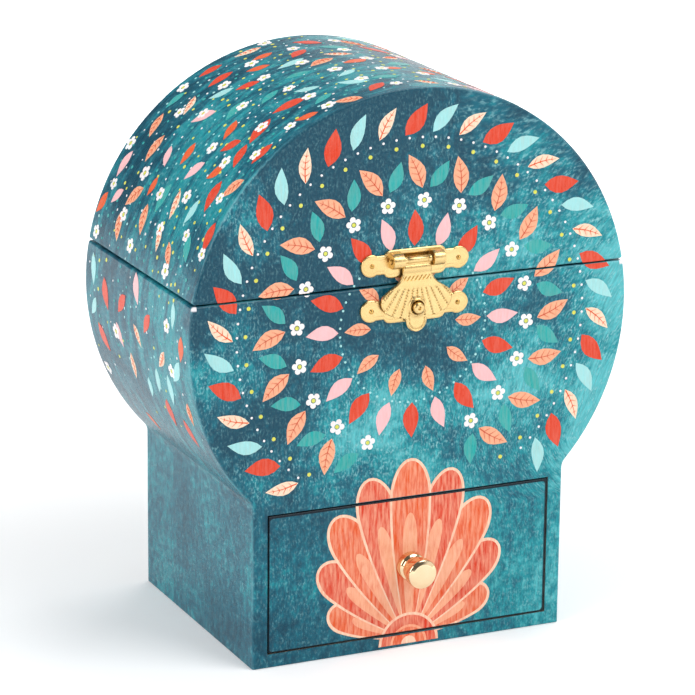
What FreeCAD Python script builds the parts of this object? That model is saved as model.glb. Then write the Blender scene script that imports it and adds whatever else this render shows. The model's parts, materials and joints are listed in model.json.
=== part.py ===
import FreeCAD, Part
import math
import os

# Ballerina jewellery box: a round-headed case on a drawer base, with a hinged lid, a clasp,
# a drawer and a wind-up music movement that turns a dancer.
# Frame: +Z up, -Y is the front, origin at the middle of the underside. Millimetres.

# Case
case_width = 150.0
case_depth = 89.0
head_centre_z = 106.5
base_width = 108.0
waist_round = 4.0
seam_z = 120.0
seam_gap = 0.5
board = 3.0
paper = 0.4
lining = 0.6
glue = 0.05
edge_round = 0.8
felt = 0.6
felt_inset = 1.5
paper_lift = 0.2

# Drawer and its bay
bay_liner = 1.5
drawer_opening_height = 46.0
drawer_sill = 4.4
drawer_gap = 0.4
drawer_front_thick = 5.0
drawer_board = 2.5
drawer_wall_height = 34.0
drawer_back_clear = 3.0
drawer_edge_round = 0.5
ceiling_clear = 0.7
drawer_felt = 1.0

# Tray inside the case
movement_room = 31.0
tray_board = 2.4
divider_board = 2.4
divider_height = 17.0
long_divider_y = -15.0
short_divider_x = 8.0
roll_height = 11.0
roll_crown = 0.86
roll_count = 2
roll_clear = 0.5

# Mirror in the lid
mirror_drop = 20.5
mirror_board = 2.4
mirror_glass = 2.0
mirror_border = 8.0
mirror_corner = 6.0

# Clasp on the front of the seam
clasp_sheet = 0.8
clasp_half_length = 18.4
clasp_lobe = 3.6
clasp_offset = 6.8
catch_offset = 7.6
clasp_bar_half = 10.3
clasp_bar_height = 8.8
clasp_neck = 5.2
hasp_axis_rise = 8.0
hasp_axis_out = 2.2
hasp_barrel = 1.8
hasp_pin = 0.6
hasp_half_neck = 4.8
hasp_waist_rise = 2.2
hasp_flare_bow = 0.9
hasp_half_flare = 11.6
hasp_shoulder_drop = 6.2
hasp_edge_drop = 10.6
hasp_tab_half = 3.5
hasp_tab_drop = 15.4
stud_radius = 1.5
stud_hole = 2.1
stud_drop = 7.2
ear_length = 4.4

# Small brass pins that hold the clasp and the hinges
nail_shank = 0.5
nail_head = 0.8
nail_length = 3.4

# Hinges at the back of the seam
hinge_x = 42.0
hinge_length = 24.0
hinge_leaf_height = 10.0
hinge_sheet = 1.0
hinge_barrel = 1.9
hinge_pin = 0.9
hinge_nail_spread = 8.0

# Knob on the drawer
knob_length = 10.5
knob_head = 4.95
knob_head_thick = 4.4
knob_neck = 2.9
knob_collar = 4.3
knob_collar_thick = 1.6
knob_bevel = 0.6
screw_shank = 1.2
screw_head = 2.8
screw_head_thick = 1.4

# Clearances between moving pieces
run_gap = 0.05
seat_gap = 0.02
side_gap = 0.2
clear_gap = 0.3

# Music movement
gear_module = 0.6
fine_module = 0.5
barrel_teeth = 40
cylinder_pinion_teeth = 24
cylinder_wheel_teeth = 32
train_pinion_teeth = 10
train_wheel_teeth = 32
governor_teeth = 8
dancer_pinion_teeth = 12
contrate_teeth = 30
backlash = 0.26
contrate_backlash = 0.4
wheel_width = 2.0
slot_gap = 0.5
plate = 2.0
plate_clear = 1.5
bedplate = 2.5
barrel_floor_clear = 0.9
barrel_wall = 0.8
cylinder_length = 15.0
cylinder_radius = 6.3
cylinder_pin = 0.25
cylinder_pin_height = 0.6
cylinder_pin_rows = 8
comb_teeth = 15
comb_sheet = 1.0
comb_tooth_length = 12.0
comb_heel = 9.0
comb_slit = 0.25
arbor = 1.5
fine_arbor = 1.0
train_arbor = 0.8
train_angle = -20.0
fan_radius = 5.8
fan_sheet = 0.8
spring_sheet = 0.35
spring_turns = 5
spring_step = 0.7
stop_wire = 0.8

# Winding key
key_hub = 3.2
key_hub_length = 8.0
key_wing = 6.2
key_wing_reach = 8.5
key_eye = 2.6
key_sheet = 2.2
key_hole = 2.4
eyelet_flange = 5.2
eyelet_sheet = 0.6

# Dancer
spindle = 1.2
bush_wall = 1.4
bush_flange = 4.4
bush_flange_thick = 0.8
turntable_radius = 9.0
turntable_thick = 2.2
coil_radius = 2.3
coil_wire = 0.8
coil_turns = 6
coil_height = 11.0
dancer_cap = 1.2
dancer_height = 45.0
dancer_hips = 0.066
dancer_waist = 0.54
tutu_radius = 13.0
tutu_sheet = 1.0
tutu_pleats = 20
tutu_wave = 1.3

# Places worked out from the sizes above
front_y = -case_depth / 2
back_y = case_depth / 2
board_inset = paper + glue
room_inset = board_inset + board
lining_inset = room_inset + glue
clear_inset = lining_inset + lining
base_rim = seam_z - seam_gap / 2
lid_rim = seam_z + seam_gap / 2
head_radius = case_width / 2
case_top = head_centre_z + head_radius
bay_half = base_width / 2 - room_inset - glue
opening_half = bay_half - bay_liner
bay_floor_z = drawer_sill
ceiling_z = drawer_sill + drawer_opening_height + ceiling_clear
shelf_z = ceiling_z + board
tray_z = shelf_z + movement_room
tray_top = tray_z + tray_board
floor_z = tray_top + glue + lining
clasp_y = front_y
hinge_axis_y = back_y + hinge_barrel + run_gap

os.makedirs("parts", exist_ok=True)


def vec(x, y, z):
    return FreeCAD.Vector(x, y, z)


def save(name, shape):
    shape.exportStep("parts/" + name + ".step")
    print(f"{name:24s} solids {len(shape.Solids)} volume {shape.Volume:10.2f} valid {shape.isValid()}")


def group(shapes):
    return Part.makeCompound(list(shapes))


def block(x0, x1, y0, y1, z0, z1):
    return Part.makeBox(x1 - x0, y1 - y0, z1 - z0, vec(x0, y0, z0))


def rod_y(radius, x, z, y0, y1):
    return Part.makeCylinder(radius, y1 - y0, vec(x, y0, z), vec(0, 1, 0))


def rod_x(radius, y, z, x0, x1):
    return Part.makeCylinder(radius, x1 - x0, vec(x0, y, z), vec(1, 0, 0))


def rod_z(radius, x, y, z0, z1):
    return Part.makeCylinder(radius, z1 - z0, vec(x, y, z0), vec(0, 0, 1))


def arc(a, b, c):
    return Part.Arc(a, b, c).toShape()


def line(a, b):
    return Part.makeLine(a, b)


def edges_on(shape, test):
    return [e for e in shape.Edges if all(test(v.Point) for v in e.Vertexes) and test(e.valueAt(
        (e.FirstParameter + e.LastParameter) / 2))]


# Case outline: a round head that runs through a small concave waist into a straight base
def case_outline(inset, y, bottom):
    radius = head_radius - inset
    half = base_width / 2 - inset
    round_r = waist_round + inset
    waist_x = base_width / 2 + waist_round
    waist_z = head_centre_z - math.sqrt((head_radius + waist_round) ** 2 - waist_x ** 2)
    share = radius / (radius + round_r)
    touch_x = waist_x * share
    touch_z = head_centre_z + (waist_z - head_centre_z) * share
    middle = (math.pi + math.atan2(head_centre_z - waist_z, -waist_x)) / 2
    mid_x = waist_x + round_r * math.cos(middle)
    mid_z = waist_z + round_r * math.sin(middle)
    return Part.Wire([
        line(vec(-half, y, bottom), vec(half, y, bottom)),
        line(vec(half, y, bottom), vec(half, y, waist_z)),
        arc(vec(half, y, waist_z), vec(mid_x, y, mid_z), vec(touch_x, y, touch_z)),
        arc(vec(touch_x, y, touch_z), vec(0, y, head_centre_z + radius), vec(-touch_x, y, touch_z)),
        arc(vec(-touch_x, y, touch_z), vec(-mid_x, y, mid_z), vec(-half, y, waist_z)),
        line(vec(-half, y, waist_z), vec(-half, y, bottom)),
    ])


def case_block(inset, y0, y1, z0, z1):
    face = Part.Face(case_outline(inset, y0, min(z0, 0.0) - 1.0))
    solid = face.extrude(vec(0, y1 - y0, 0))
    return solid.common(block(-case_width, case_width, y0, y1, z0, z1))


def room_half(z, inset):
    return math.sqrt((head_radius - inset) ** 2 - (z - head_centre_z) ** 2)


def rounded_cover(z0, z1, rim):
    shape = case_block(0.0, front_y, back_y, z0, z1)
    on_face = edges_on(shape, lambda p: abs(abs(p.y) - back_y) < 1e-6)
    on_face = [e for e in on_face if not all(abs(v.Z - z0) < 1e-6 for v in e.Vertexes) or rim == z0]
    on_rim = edges_on(shape, lambda p: abs(p.z - rim) < 1e-6)
    kept = {e.hashCode(): e for e in on_face + on_rim}
    return shape.makeFillet(edge_round, list(kept.values()))


def nail(x, z, surface_y, outward):
    # A brass pin driven into the case: a low domed head on the metal and a shank in the board
    shank = rod_y(nail_shank, x, z, min(surface_y, surface_y - outward * nail_length),
                  max(surface_y, surface_y - outward * nail_length))
    ball = Part.makeSphere(nail_head, vec(x, surface_y, z))
    keep = block(x - nail_head, x + nail_head, min(surface_y, surface_y + outward * nail_head),
                 max(surface_y, surface_y + outward * nail_head), z - nail_head, z + nail_head)
    return shank.fuse(ball.common(keep)).removeSplitter()


def nail_hole(x, z, y0, y1):
    return rod_y(nail_shank + seat_gap, x, z, y0, y1)


# Places of the brass pins
clasp_nails = [(side * (clasp_half_length - clasp_lobe), seam_z + clasp_offset) for side in (-1, 1)]
catch_nails = [(side * (clasp_half_length - clasp_lobe), seam_z - catch_offset) for side in (-1, 1)]
hinge_nail_z = (hinge_leaf_height + hinge_barrel) / 2
hinge_nail_x = [side * hinge_x + way * hinge_nail_spread for side in (-1, 1) for way in (-1, 1)]
lid_hinge_nails = [(x, seam_z + hinge_nail_z) for x in hinge_nail_x]
base_hinge_nails = [(x, seam_z - hinge_nail_z) for x in hinge_nail_x]


def drill(shape, places, y0, y1):
    for x, z in places:
        shape = shape.cut(nail_hole(x, z, y0, y1))
    return shape


# Movement layout, from the back wall forward
room_back = back_y - room_inset
rear_plate_y = room_back - plate_clear - plate
drive_y = rear_plate_y - plate_clear / 2 - wheel_width
train_wheel_y = drive_y - slot_gap - wheel_width
governor_slot_y = train_wheel_y - slot_gap - wheel_width
cylinder_y = governor_slot_y - 2 * slot_gap - cylinder_length
front_plate_y = cylinder_y - plate_clear - plate
dancer_pinion_y = front_plate_y - slot_gap - wheel_width
barrel_pitch = barrel_teeth * gear_module / 2
bed_top = shelf_z + bedplate
train_z = bed_top + barrel_floor_clear + barrel_pitch + gear_module
barrel_x = -(barrel_teeth + cylinder_pinion_teeth) * gear_module / 2
train_reach = (cylinder_wheel_teeth + train_pinion_teeth) * fine_module / 2
train_x = train_reach * math.cos(math.radians(train_angle))
train_low_z = train_z + train_reach * math.sin(math.radians(train_angle))
governor_x = train_x + (train_wheel_teeth + governor_teeth) * fine_module / 2
contrate_pitch = contrate_teeth * gear_module / 2
spindle_y = dancer_pinion_y + wheel_width / 2 - contrate_pitch
mesh_z = train_z + dancer_pinion_teeth * gear_module / 2
stop_x = governor_x + fan_radius + clear_gap + 3 * stop_wire
stop_y = governor_slot_y + wheel_width / 2
bracket_y = governor_slot_y - slot_gap / 2 - plate
key_z = train_z


# Case boards and covers
def case_parts():
    opening = block(-opening_half, opening_half, front_y - 1, front_y + room_inset + 1,
                    drawer_sill, drawer_sill + drawer_opening_height)
    key_way = rod_y(key_hole + eyelet_sheet + seat_gap, barrel_x, key_z, room_back - 1, back_y + 1)

    cover = rounded_cover(paper_lift, base_rim, base_rim)
    cover = cover.cut(case_block(paper, front_y + paper, back_y - paper, -1, base_rim - paper))
    cover = cover.cut(case_block(room_inset, -room_back, room_back, head_centre_z, case_top))
    cover = cover.cut(opening).cut(key_way)
    cover = drill(cover, catch_nails, front_y - 1, front_y + 1)
    cover = drill(cover, base_hinge_nails, back_y - 1, back_y + 1)
    save("base_cover", cover)

    top = base_rim - paper - glue
    front = case_block(board_inset, front_y + board_inset, front_y + room_inset, felt, top)
    front = drill(front.cut(opening), catch_nails, front_y, front_y + room_inset)
    save("base_front_board", front)

    back = case_block(board_inset, back_y - room_inset, back_y - board_inset, felt, top)
    back = drill(back.cut(key_way), base_hinge_nails, back_y - nail_length, back_y)
    save("base_back_board", back)

    wall_y = back_y - room_inset - glue
    walls = case_block(board_inset, -wall_y, wall_y, felt, top)
    walls = walls.cut(case_block(room_inset, -case_depth, case_depth, -1, case_top))
    save("base_side_walls", group(walls.Solids))

    save("bottom_board", block(-bay_half, bay_half, -wall_y, wall_y, felt, bay_floor_z))
    save("bottom_felt", block(-base_width / 2 + felt_inset, base_width / 2 - felt_inset,
                              front_y + felt_inset, back_y - felt_inset, 0, felt))
    liner = block(opening_half, bay_half, -wall_y, wall_y, bay_floor_z, ceiling_z)
    save("bay_liners", group([liner, liner.mirror(vec(0, 0, 0), vec(1, 0, 0))]))


# Shelf over the drawer, the tray over the movement and its lining
def tray_parts():
    wall_y = back_y - room_inset - glue
    shelf = block(-bay_half, bay_half, -wall_y, wall_y, ceiling_z, shelf_z)
    for x, y in bed_screws():
        shelf = shelf.cut(rod_z(screw_shank + seat_gap, x, y, ceiling_z, shelf_z))
    save("bay_ceiling", shelf)

    bush_way = rod_z(spindle + bush_wall + seat_gap, 0, spindle_y, tray_z - 1, floor_z + 1)
    wire_way = rod_z(stop_wire + clear_gap, stop_x, stop_y, tray_z - 1, floor_z + 1)
    half = room_half(tray_z, room_inset) - glue
    save("tray_floor", block(-half, half, -wall_y, wall_y, tray_z, tray_top).cut(bush_way).cut(wire_way))

    low = tray_top + glue
    high = base_rim - paper
    outer = case_block(lining_inset, front_y + lining_inset, back_y - lining_inset, low, high)
    inner = case_block(clear_inset, front_y + clear_inset, back_y - clear_inset, floor_z, case_top)
    save("tub_lining", outer.cut(inner).cut(bush_way).cut(wire_way))

    fit_inset = clear_inset + glue
    fit_y = back_y - fit_inset
    room = case_block(fit_inset, -fit_y, fit_y, floor_z + glue, floor_z + divider_height)
    long_board = room.common(block(-case_width, case_width, long_divider_y, long_divider_y + divider_board,
                                   0, case_top))
    short_board = room.common(block(short_divider_x, short_divider_x + divider_board,
                                    front_y, long_divider_y - glue, 0, case_top))
    save("tray_dividers", group([long_board, short_board]))
    save("ring_cushion", group(ring_rolls()))


# Ring rolls: loaf-shaped pads side by side, lower at their ends
def ring_rolls():
    room_y0 = front_y + clear_inset + roll_clear
    room_y1 = long_divider_y - roll_clear
    depth = (room_y1 - room_y0) / roll_count
    left = -room_half(floor_z, clear_inset) + 2 * roll_clear
    right = short_divider_x - roll_clear
    rolls = []
    for i in range(roll_count):
        y0 = room_y0 + i * depth + roll_clear / 2
        y1 = room_y0 + (i + 1) * depth - roll_clear / 2
        sections = []
        for share, size in ((0.0, roll_crown), (0.08, 0.97), (0.5, 1.0), (0.92, 0.97), (1.0, roll_crown)):
            sections.append(roll_section(left + share * (right - left), y0, y1, size))
        rolls.append(Part.makeLoft(sections, True, False))
    return rolls


def roll_section(x, y0, y1, size):
    mid = (y0 + y1) / 2
    half = (y1 - y0) / 2 * size
    low = floor_z + clear_gap
    side = low + 0.45 * roll_height * size
    high = low + roll_height * size
    lean = 0.92 * half
    knee = math.sqrt(0.5)
    knee_z = side + knee * (high - side)
    return Part.Wire([
        line(vec(x, mid - lean, low), vec(x, mid + lean, low)),
        line(vec(x, mid + lean, low), vec(x, mid + half, side)),
        arc(vec(x, mid + half, side), vec(x, mid + knee * half, knee_z), vec(x, mid, high)),
        arc(vec(x, mid, high), vec(x, mid - knee * half, knee_z), vec(x, mid - half, side)),
        line(vec(x, mid - half, side), vec(x, mid - lean, low)),
    ])


# Lid: an arched shell with a front, a back, a lining and a mirror under the arch
def lid_parts():
    cover = rounded_cover(lid_rim, case_top + 1, lid_rim)
    cover = cover.cut(case_block(paper, front_y + paper, back_y - paper, lid_rim + paper, case_top))
    cover = cover.cut(case_block(room_inset, -room_back, room_back, lid_rim - 1, lid_rim + 1))
    cover = drill(cover, clasp_nails, front_y - 1, front_y + 1)
    cover = drill(cover, lid_hinge_nails, back_y - 1, back_y + 1)
    save("lid_cover", cover)

    low = lid_rim + paper + glue
    front = case_block(board_inset, front_y + board_inset, front_y + room_inset, low, case_top)
    save("lid_front_board", drill(front, clasp_nails, front_y, front_y + room_inset))
    back = case_block(board_inset, back_y - room_inset, back_y - board_inset, low, case_top)
    save("lid_back_board", drill(back, lid_hinge_nails, back_y - nail_length, back_y))
    wall_y = back_y - room_inset - glue
    arch = case_block(board_inset, -wall_y, wall_y, low, case_top)
    save("lid_arch", arch.cut(case_block(room_inset, -case_depth, case_depth, low - 1, case_top)))

    lining_y = back_y - lining_inset
    clear_y = back_y - clear_inset
    outer = case_block(lining_inset, -lining_y, lining_y, lid_rim + paper, case_top)
    save("lid_lining", outer.cut(case_block(clear_inset, -clear_y, clear_y, lid_rim - 1, case_top)))

    panel_top = case_top - mirror_drop
    half = room_half(panel_top, clear_inset + glue)
    panel_y = clear_y - glue
    save("mirror_board", block(-half, half, -panel_y, panel_y, panel_top - mirror_board, panel_top))
    glass_top = panel_top - mirror_board - glue
    glass_x = half - mirror_border
    glass_y = panel_y - mirror_border
    glass = block(-glass_x, glass_x, -glass_y, glass_y, glass_top - mirror_glass, glass_top)
    corners = [e for e in glass.Edges if abs(e.tangentAt(e.FirstParameter).z) > 0.9]
    save("mirror", glass.makeFillet(mirror_corner, corners))

    stop_top = base_rim + paper + seam_gap
    touch = block(stop_x - 4 * stop_wire, stop_x + 4 * stop_wire, stop_y - 3 * stop_wire,
                  clear_y - glue, stop_top + clear_gap, stop_top + clear_gap + 2 * board)
    save("lid_stop_block", touch)


# Clasp: a plate with two ears on the lid, a fan-shaped hasp on a pin, and a catch plate with a stud
def lobed_plate(mid_z):
    y = clasp_y - clasp_sheet
    high = clasp_bar_height / 2
    shape = block(-clasp_bar_half, clasp_bar_half, y, clasp_y, mid_z - high, mid_z + high)
    end = clasp_half_length - clasp_lobe
    shape = shape.fuse(block(-end, end, y, clasp_y, mid_z - clasp_neck / 2, mid_z + clasp_neck / 2))
    for side in (-1, 1):
        shape = shape.fuse(rod_y(clasp_lobe, side * end, mid_z, y, clasp_y))
    return shape.removeSplitter()


def hasp_outline(y):
    def p(x, drop):
        return vec(x, y, seam_z - drop)
    neck = hasp_half_neck
    flare = hasp_half_flare
    top = -hasp_axis_rise
    waist = -hasp_waist_rise
    bow_x = (neck + flare) / 2 - hasp_flare_bow
    bow_drop = (hasp_shoulder_drop - hasp_waist_rise) / 2 - hasp_flare_bow
    fall = hasp_edge_drop - hasp_shoulder_drop
    corner_x = flare - 0.2 * fall
    corner_drop = hasp_shoulder_drop + 0.55 * fall
    tab_x = hasp_tab_half + 0.1 * fall
    right = [
        line(p(neck, top), p(neck, waist)),
        arc(p(neck, waist), p(bow_x, bow_drop), p(flare, hasp_shoulder_drop)),
        arc(p(flare, hasp_shoulder_drop), p(flare, hasp_shoulder_drop + 0.3 * fall),
            p(corner_x, corner_drop)),
        arc(p(corner_x, corner_drop), p((corner_x + tab_x) / 2, hasp_edge_drop - 0.15 * fall),
            p(tab_x, hasp_edge_drop)),
        line(p(tab_x, hasp_edge_drop), p(hasp_tab_half, hasp_tab_drop - hasp_tab_half)),
    ]
    bottom = arc(p(hasp_tab_half, hasp_tab_drop - hasp_tab_half), p(0, hasp_tab_drop),
                 p(-hasp_tab_half, hasp_tab_drop - hasp_tab_half))
    left = [e.mirror(vec(0, 0, 0), vec(1, 0, 0)) for e in right]
    close = line(p(-neck, top), p(neck, top))
    return Part.Wire(Part.__sortEdges__(right + [bottom] + left + [close]))


def clasp_parts():
    axis_y = clasp_y - hasp_axis_out
    axis_z = seam_z + hasp_axis_rise
    ear_in = hasp_half_neck + side_gap
    window = block(-ear_in, ear_in, clasp_y - clasp_sheet - 1, clasp_y + 1,
                   axis_z - hasp_barrel - clear_gap, axis_z + hasp_barrel + clear_gap)
    clasp = lobed_plate(seam_z + clasp_offset).cut(window)
    for side in (-1, 1):
        x0 = min(side * ear_in, side * (ear_in + ear_length))
        ear = rod_x(hasp_barrel, axis_y, axis_z, x0, x0 + ear_length)
        web = block(x0, x0 + ear_length, axis_y, clasp_y - clasp_sheet,
                    axis_z - hasp_barrel, axis_z + hasp_barrel)
        clasp = clasp.fuse(ear).fuse(web)
    bore = rod_x(hasp_pin + run_gap, axis_y, axis_z, -case_width, case_width)
    clasp = drill(clasp.cut(bore), clasp_nails, front_y - 2, front_y + 1).removeSplitter()
    save("clasp_plate", clasp)
    reach = ear_in + ear_length
    save("clasp_hinge_pin", rod_x(hasp_pin, axis_y, axis_z, -reach, reach))

    face_y = axis_y - clasp_sheet / 2
    sheet = Part.Face(hasp_outline(face_y)).extrude(vec(0, clasp_sheet, 0))
    barrel = rod_x(hasp_barrel, axis_y, axis_z, -hasp_half_neck, hasp_half_neck)
    eye = rod_y(stud_hole, 0, seam_z - stud_drop, face_y - 1, face_y + clasp_sheet + 1)
    save("clasp_hasp", sheet.fuse(barrel).cut(bore).cut(eye).removeSplitter())

    catch = lobed_plate(seam_z - catch_offset)
    stud_y = axis_y + clasp_sheet / 2 + clear_gap
    stud = rod_y(stud_radius, 0, seam_z - stud_drop, stud_y, clasp_y)
    save("catch_plate", drill(catch.fuse(stud), catch_nails, front_y - 2, front_y + 1).removeSplitter())


# Hinges: two leaves on the back of the seam, with three knuckles on one pin
def hinge_leaves(rise, knuckles):
    shapes = []
    for side in (-1, 1):
        x0 = side * hinge_x - hinge_length / 2
        near = hinge_barrel + clear_gap
        z = sorted((seam_z + rise * near, seam_z + rise * hinge_leaf_height))
        leaf = block(x0, x0 + hinge_length, back_y, back_y + hinge_sheet, z[0], z[1])
        step = hinge_length / 3
        for k in knuckles:
            k0 = x0 + k * step + (side_gap / 2 if k > 0 else 0)
            k1 = x0 + (k + 1) * step - (side_gap / 2 if k < 2 else 0)
            web_z = sorted((seam_z, seam_z + rise * (near + hinge_sheet)))
            leaf = leaf.fuse(block(k0, k1, back_y, back_y + hinge_sheet, web_z[0], web_z[1]))
            leaf = leaf.fuse(rod_x(hinge_barrel, hinge_axis_y, seam_z, k0, k1))
        leaf = leaf.cut(rod_x(hinge_pin + run_gap, hinge_axis_y, seam_z, x0 - 1, x0 + hinge_length + 1))
        shapes.append(leaf)
    places = lid_hinge_nails if rise > 0 else base_hinge_nails
    return [drill(s, places, back_y - 1, back_y + 2 * hinge_sheet).removeSplitter() for s in shapes]


def hinge_parts():
    save("hinge_base_leaves", group(hinge_leaves(-1, (0, 2))))
    save("hinge_lid_leaves", group(hinge_leaves(1, (1,))))
    pins = []
    for side in (-1, 1):
        x0 = side * hinge_x - hinge_length / 2
        pins.append(rod_x(hinge_pin, hinge_axis_y, seam_z, x0, x0 + hinge_length))
    save("hinge_pins", group(pins))
    front_surface = front_y - clasp_sheet
    back_surface = back_y + hinge_sheet
    lid_set = [nail(x, z, front_surface, -1) for x, z in clasp_nails]
    lid_set += [nail(x, z, back_surface, 1) for x, z in lid_hinge_nails]
    base_set = [nail(x, z, front_surface, -1) for x, z in catch_nails]
    base_set += [nail(x, z, back_surface, 1) for x, z in base_hinge_nails]
    save("lid_nails", group(lid_set))
    save("base_nails", group(base_set))


# Drawer: a printed front with a turned knob, board walls, a floor and a felt
def drawer_parts():
    half = opening_half - drawer_gap
    low = drawer_sill + drawer_gap
    high = drawer_sill + drawer_opening_height - drawer_gap
    inner_y = front_y + drawer_front_thick
    end_y = back_y - room_inset - glue - drawer_back_clear
    mid_z = (low + high) / 2
    shank_way = rod_y(screw_shank + seat_gap, 0, mid_z, front_y - 1, inner_y + 1)

    front = block(-half, half, front_y, inner_y, low, high)
    rim = edges_on(front, lambda p: abs(p.y - front_y) < 1e-6)
    save("drawer_front", front.makeFillet(drawer_edge_round, rim).cut(shank_way))

    floor0 = bay_floor_z + drawer_gap
    floor1 = floor0 + drawer_board
    wall_top = floor1 + drawer_wall_height
    save("drawer_floor", block(-half, half, inner_y + glue, end_y, floor0, floor1))
    side = block(half - drawer_board, half, inner_y + glue, end_y, floor1 + glue, wall_top)
    back = block(-half + drawer_board + glue, half - drawer_board - glue, end_y - drawer_board, end_y,
                 floor1 + glue, wall_top)
    save("drawer_walls", group([side, side.mirror(vec(0, 0, 0), vec(1, 0, 0)), back]))
    pad = drawer_board + 2 * glue
    save("drawer_felt", block(-half + pad, half - pad, inner_y + 2 * glue, end_y - pad,
                              floor1 + glue, floor1 + glue + drawer_felt))

    tip = front_y - knob_length
    shoulder = tip + knob_head_thick
    collar = front_y - knob_collar_thick
    points = [
        vec(0, front_y, 0),
        vec(knob_collar, front_y, 0),
        vec(knob_collar, collar, 0),
        vec(knob_neck, collar - knob_bevel, 0),
        vec(knob_neck, shoulder + knob_bevel, 0),
        vec(knob_head, shoulder, 0),
        vec(knob_head, tip + knob_bevel, 0),
        vec(knob_head - knob_bevel, tip, 0),
        vec(0, tip, 0),
        vec(0, front_y, 0),
    ]
    knob = Part.Face(Part.makePolygon(points)).revolve(vec(0, 0, 0), vec(0, 1, 0), 360)
    knob.translate(vec(0, 0, mid_z))
    grip = knob_length / 2
    save("drawer_knob", knob.cut(rod_y(screw_shank + seat_gap, 0, mid_z, front_y - grip, front_y + 1)))
    screw = rod_y(screw_shank, 0, mid_z, front_y - grip + seat_gap, inner_y)
    head = rod_y(screw_head, 0, mid_z, inner_y, inner_y + screw_head_thick)
    slot = block(-screw_head, screw_head, inner_y + screw_head_thick / 2, inner_y + screw_head_thick,
                 mid_z - fan_sheet / 2, mid_z + fan_sheet / 2)
    save("knob_screw", screw.fuse(head).cut(slot).removeSplitter())


# Toothed wheels
def involute(angle):
    return math.tan(angle) - angle


def tooth_outline(teeth, module, phase):
    # One polygon in the XZ plane: each tooth has its root, pitch and tip corners on an involute flank
    pitch = teeth * module / 2
    base = pitch * math.cos(math.radians(20))
    tip = pitch + 0.9 * module
    root = pitch - 1.2 * module
    half = (math.pi * module / 2 - backlash / 2) / (2 * pitch)
    flank = half + involute(math.radians(20))
    low = max(base, root)
    at_low = flank - involute(math.acos(min(1.0, base / low)))
    at_tip = max(flank - involute(math.acos(base / tip)), 0.02)
    corners = [(root, -at_low), (low, -at_low), (pitch, -half), (tip, -at_tip),
               (tip, at_tip), (pitch, half), (low, at_low), (root, at_low)]
    if low - root < 1e-6:
        corners = corners[1:-1]
    points = []
    for i in range(teeth):
        centre = phase + 2 * math.pi * i / teeth
        for radius, turn in corners:
            a = centre + turn
            points.append(vec(radius * math.cos(a), 0, radius * math.sin(a)))
    return points + points[:1]


def toothed_wheel(teeth, module, phase, x, z, y0, width, bore):
    wheel = Part.Face(Part.makePolygon(tooth_outline(teeth, module, phase))).extrude(vec(0, width, 0))
    wheel.translate(vec(x, y0, z))
    if bore > 0:
        wheel = wheel.cut(rod_y(bore, x, z, y0 - 1, y0 + width + 1))
    return wheel


def gap_phase(teeth, towards):
    # Turns a wheel so that the space between two teeth faces the given direction
    return towards + math.pi / teeth


# Frame of the movement: a bedplate with a comb block, two plates with bearing holes and a train bracket
def bed_corners():
    x0 = barrel_x - barrel_pitch - 2 * gear_module
    x1 = stop_x + 2 * plate
    y0 = spindle_y - 3 * plate
    y1 = room_back - plate_clear
    return x0, x1, y0, y1


def bed_screws():
    x0, x1, y0, y1 = bed_corners()
    off = 1.6 * screw_head
    return [(x, y) for x in (x0 + off, x1 - off) for y in (y0 + off, front_plate_y - off)]


def comb_places():
    tip = cylinder_radius + cylinder_pin_height + clear_gap
    heel0 = tip + comb_tooth_length
    return tip, heel0, heel0 + comb_heel


def comb_screw_places():
    tip, heel0, heel1 = comb_places()
    x = (heel0 + heel1) / 2
    return [(x, cylinder_y + cylinder_length * share) for share in (0.2, 0.66)]


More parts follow.
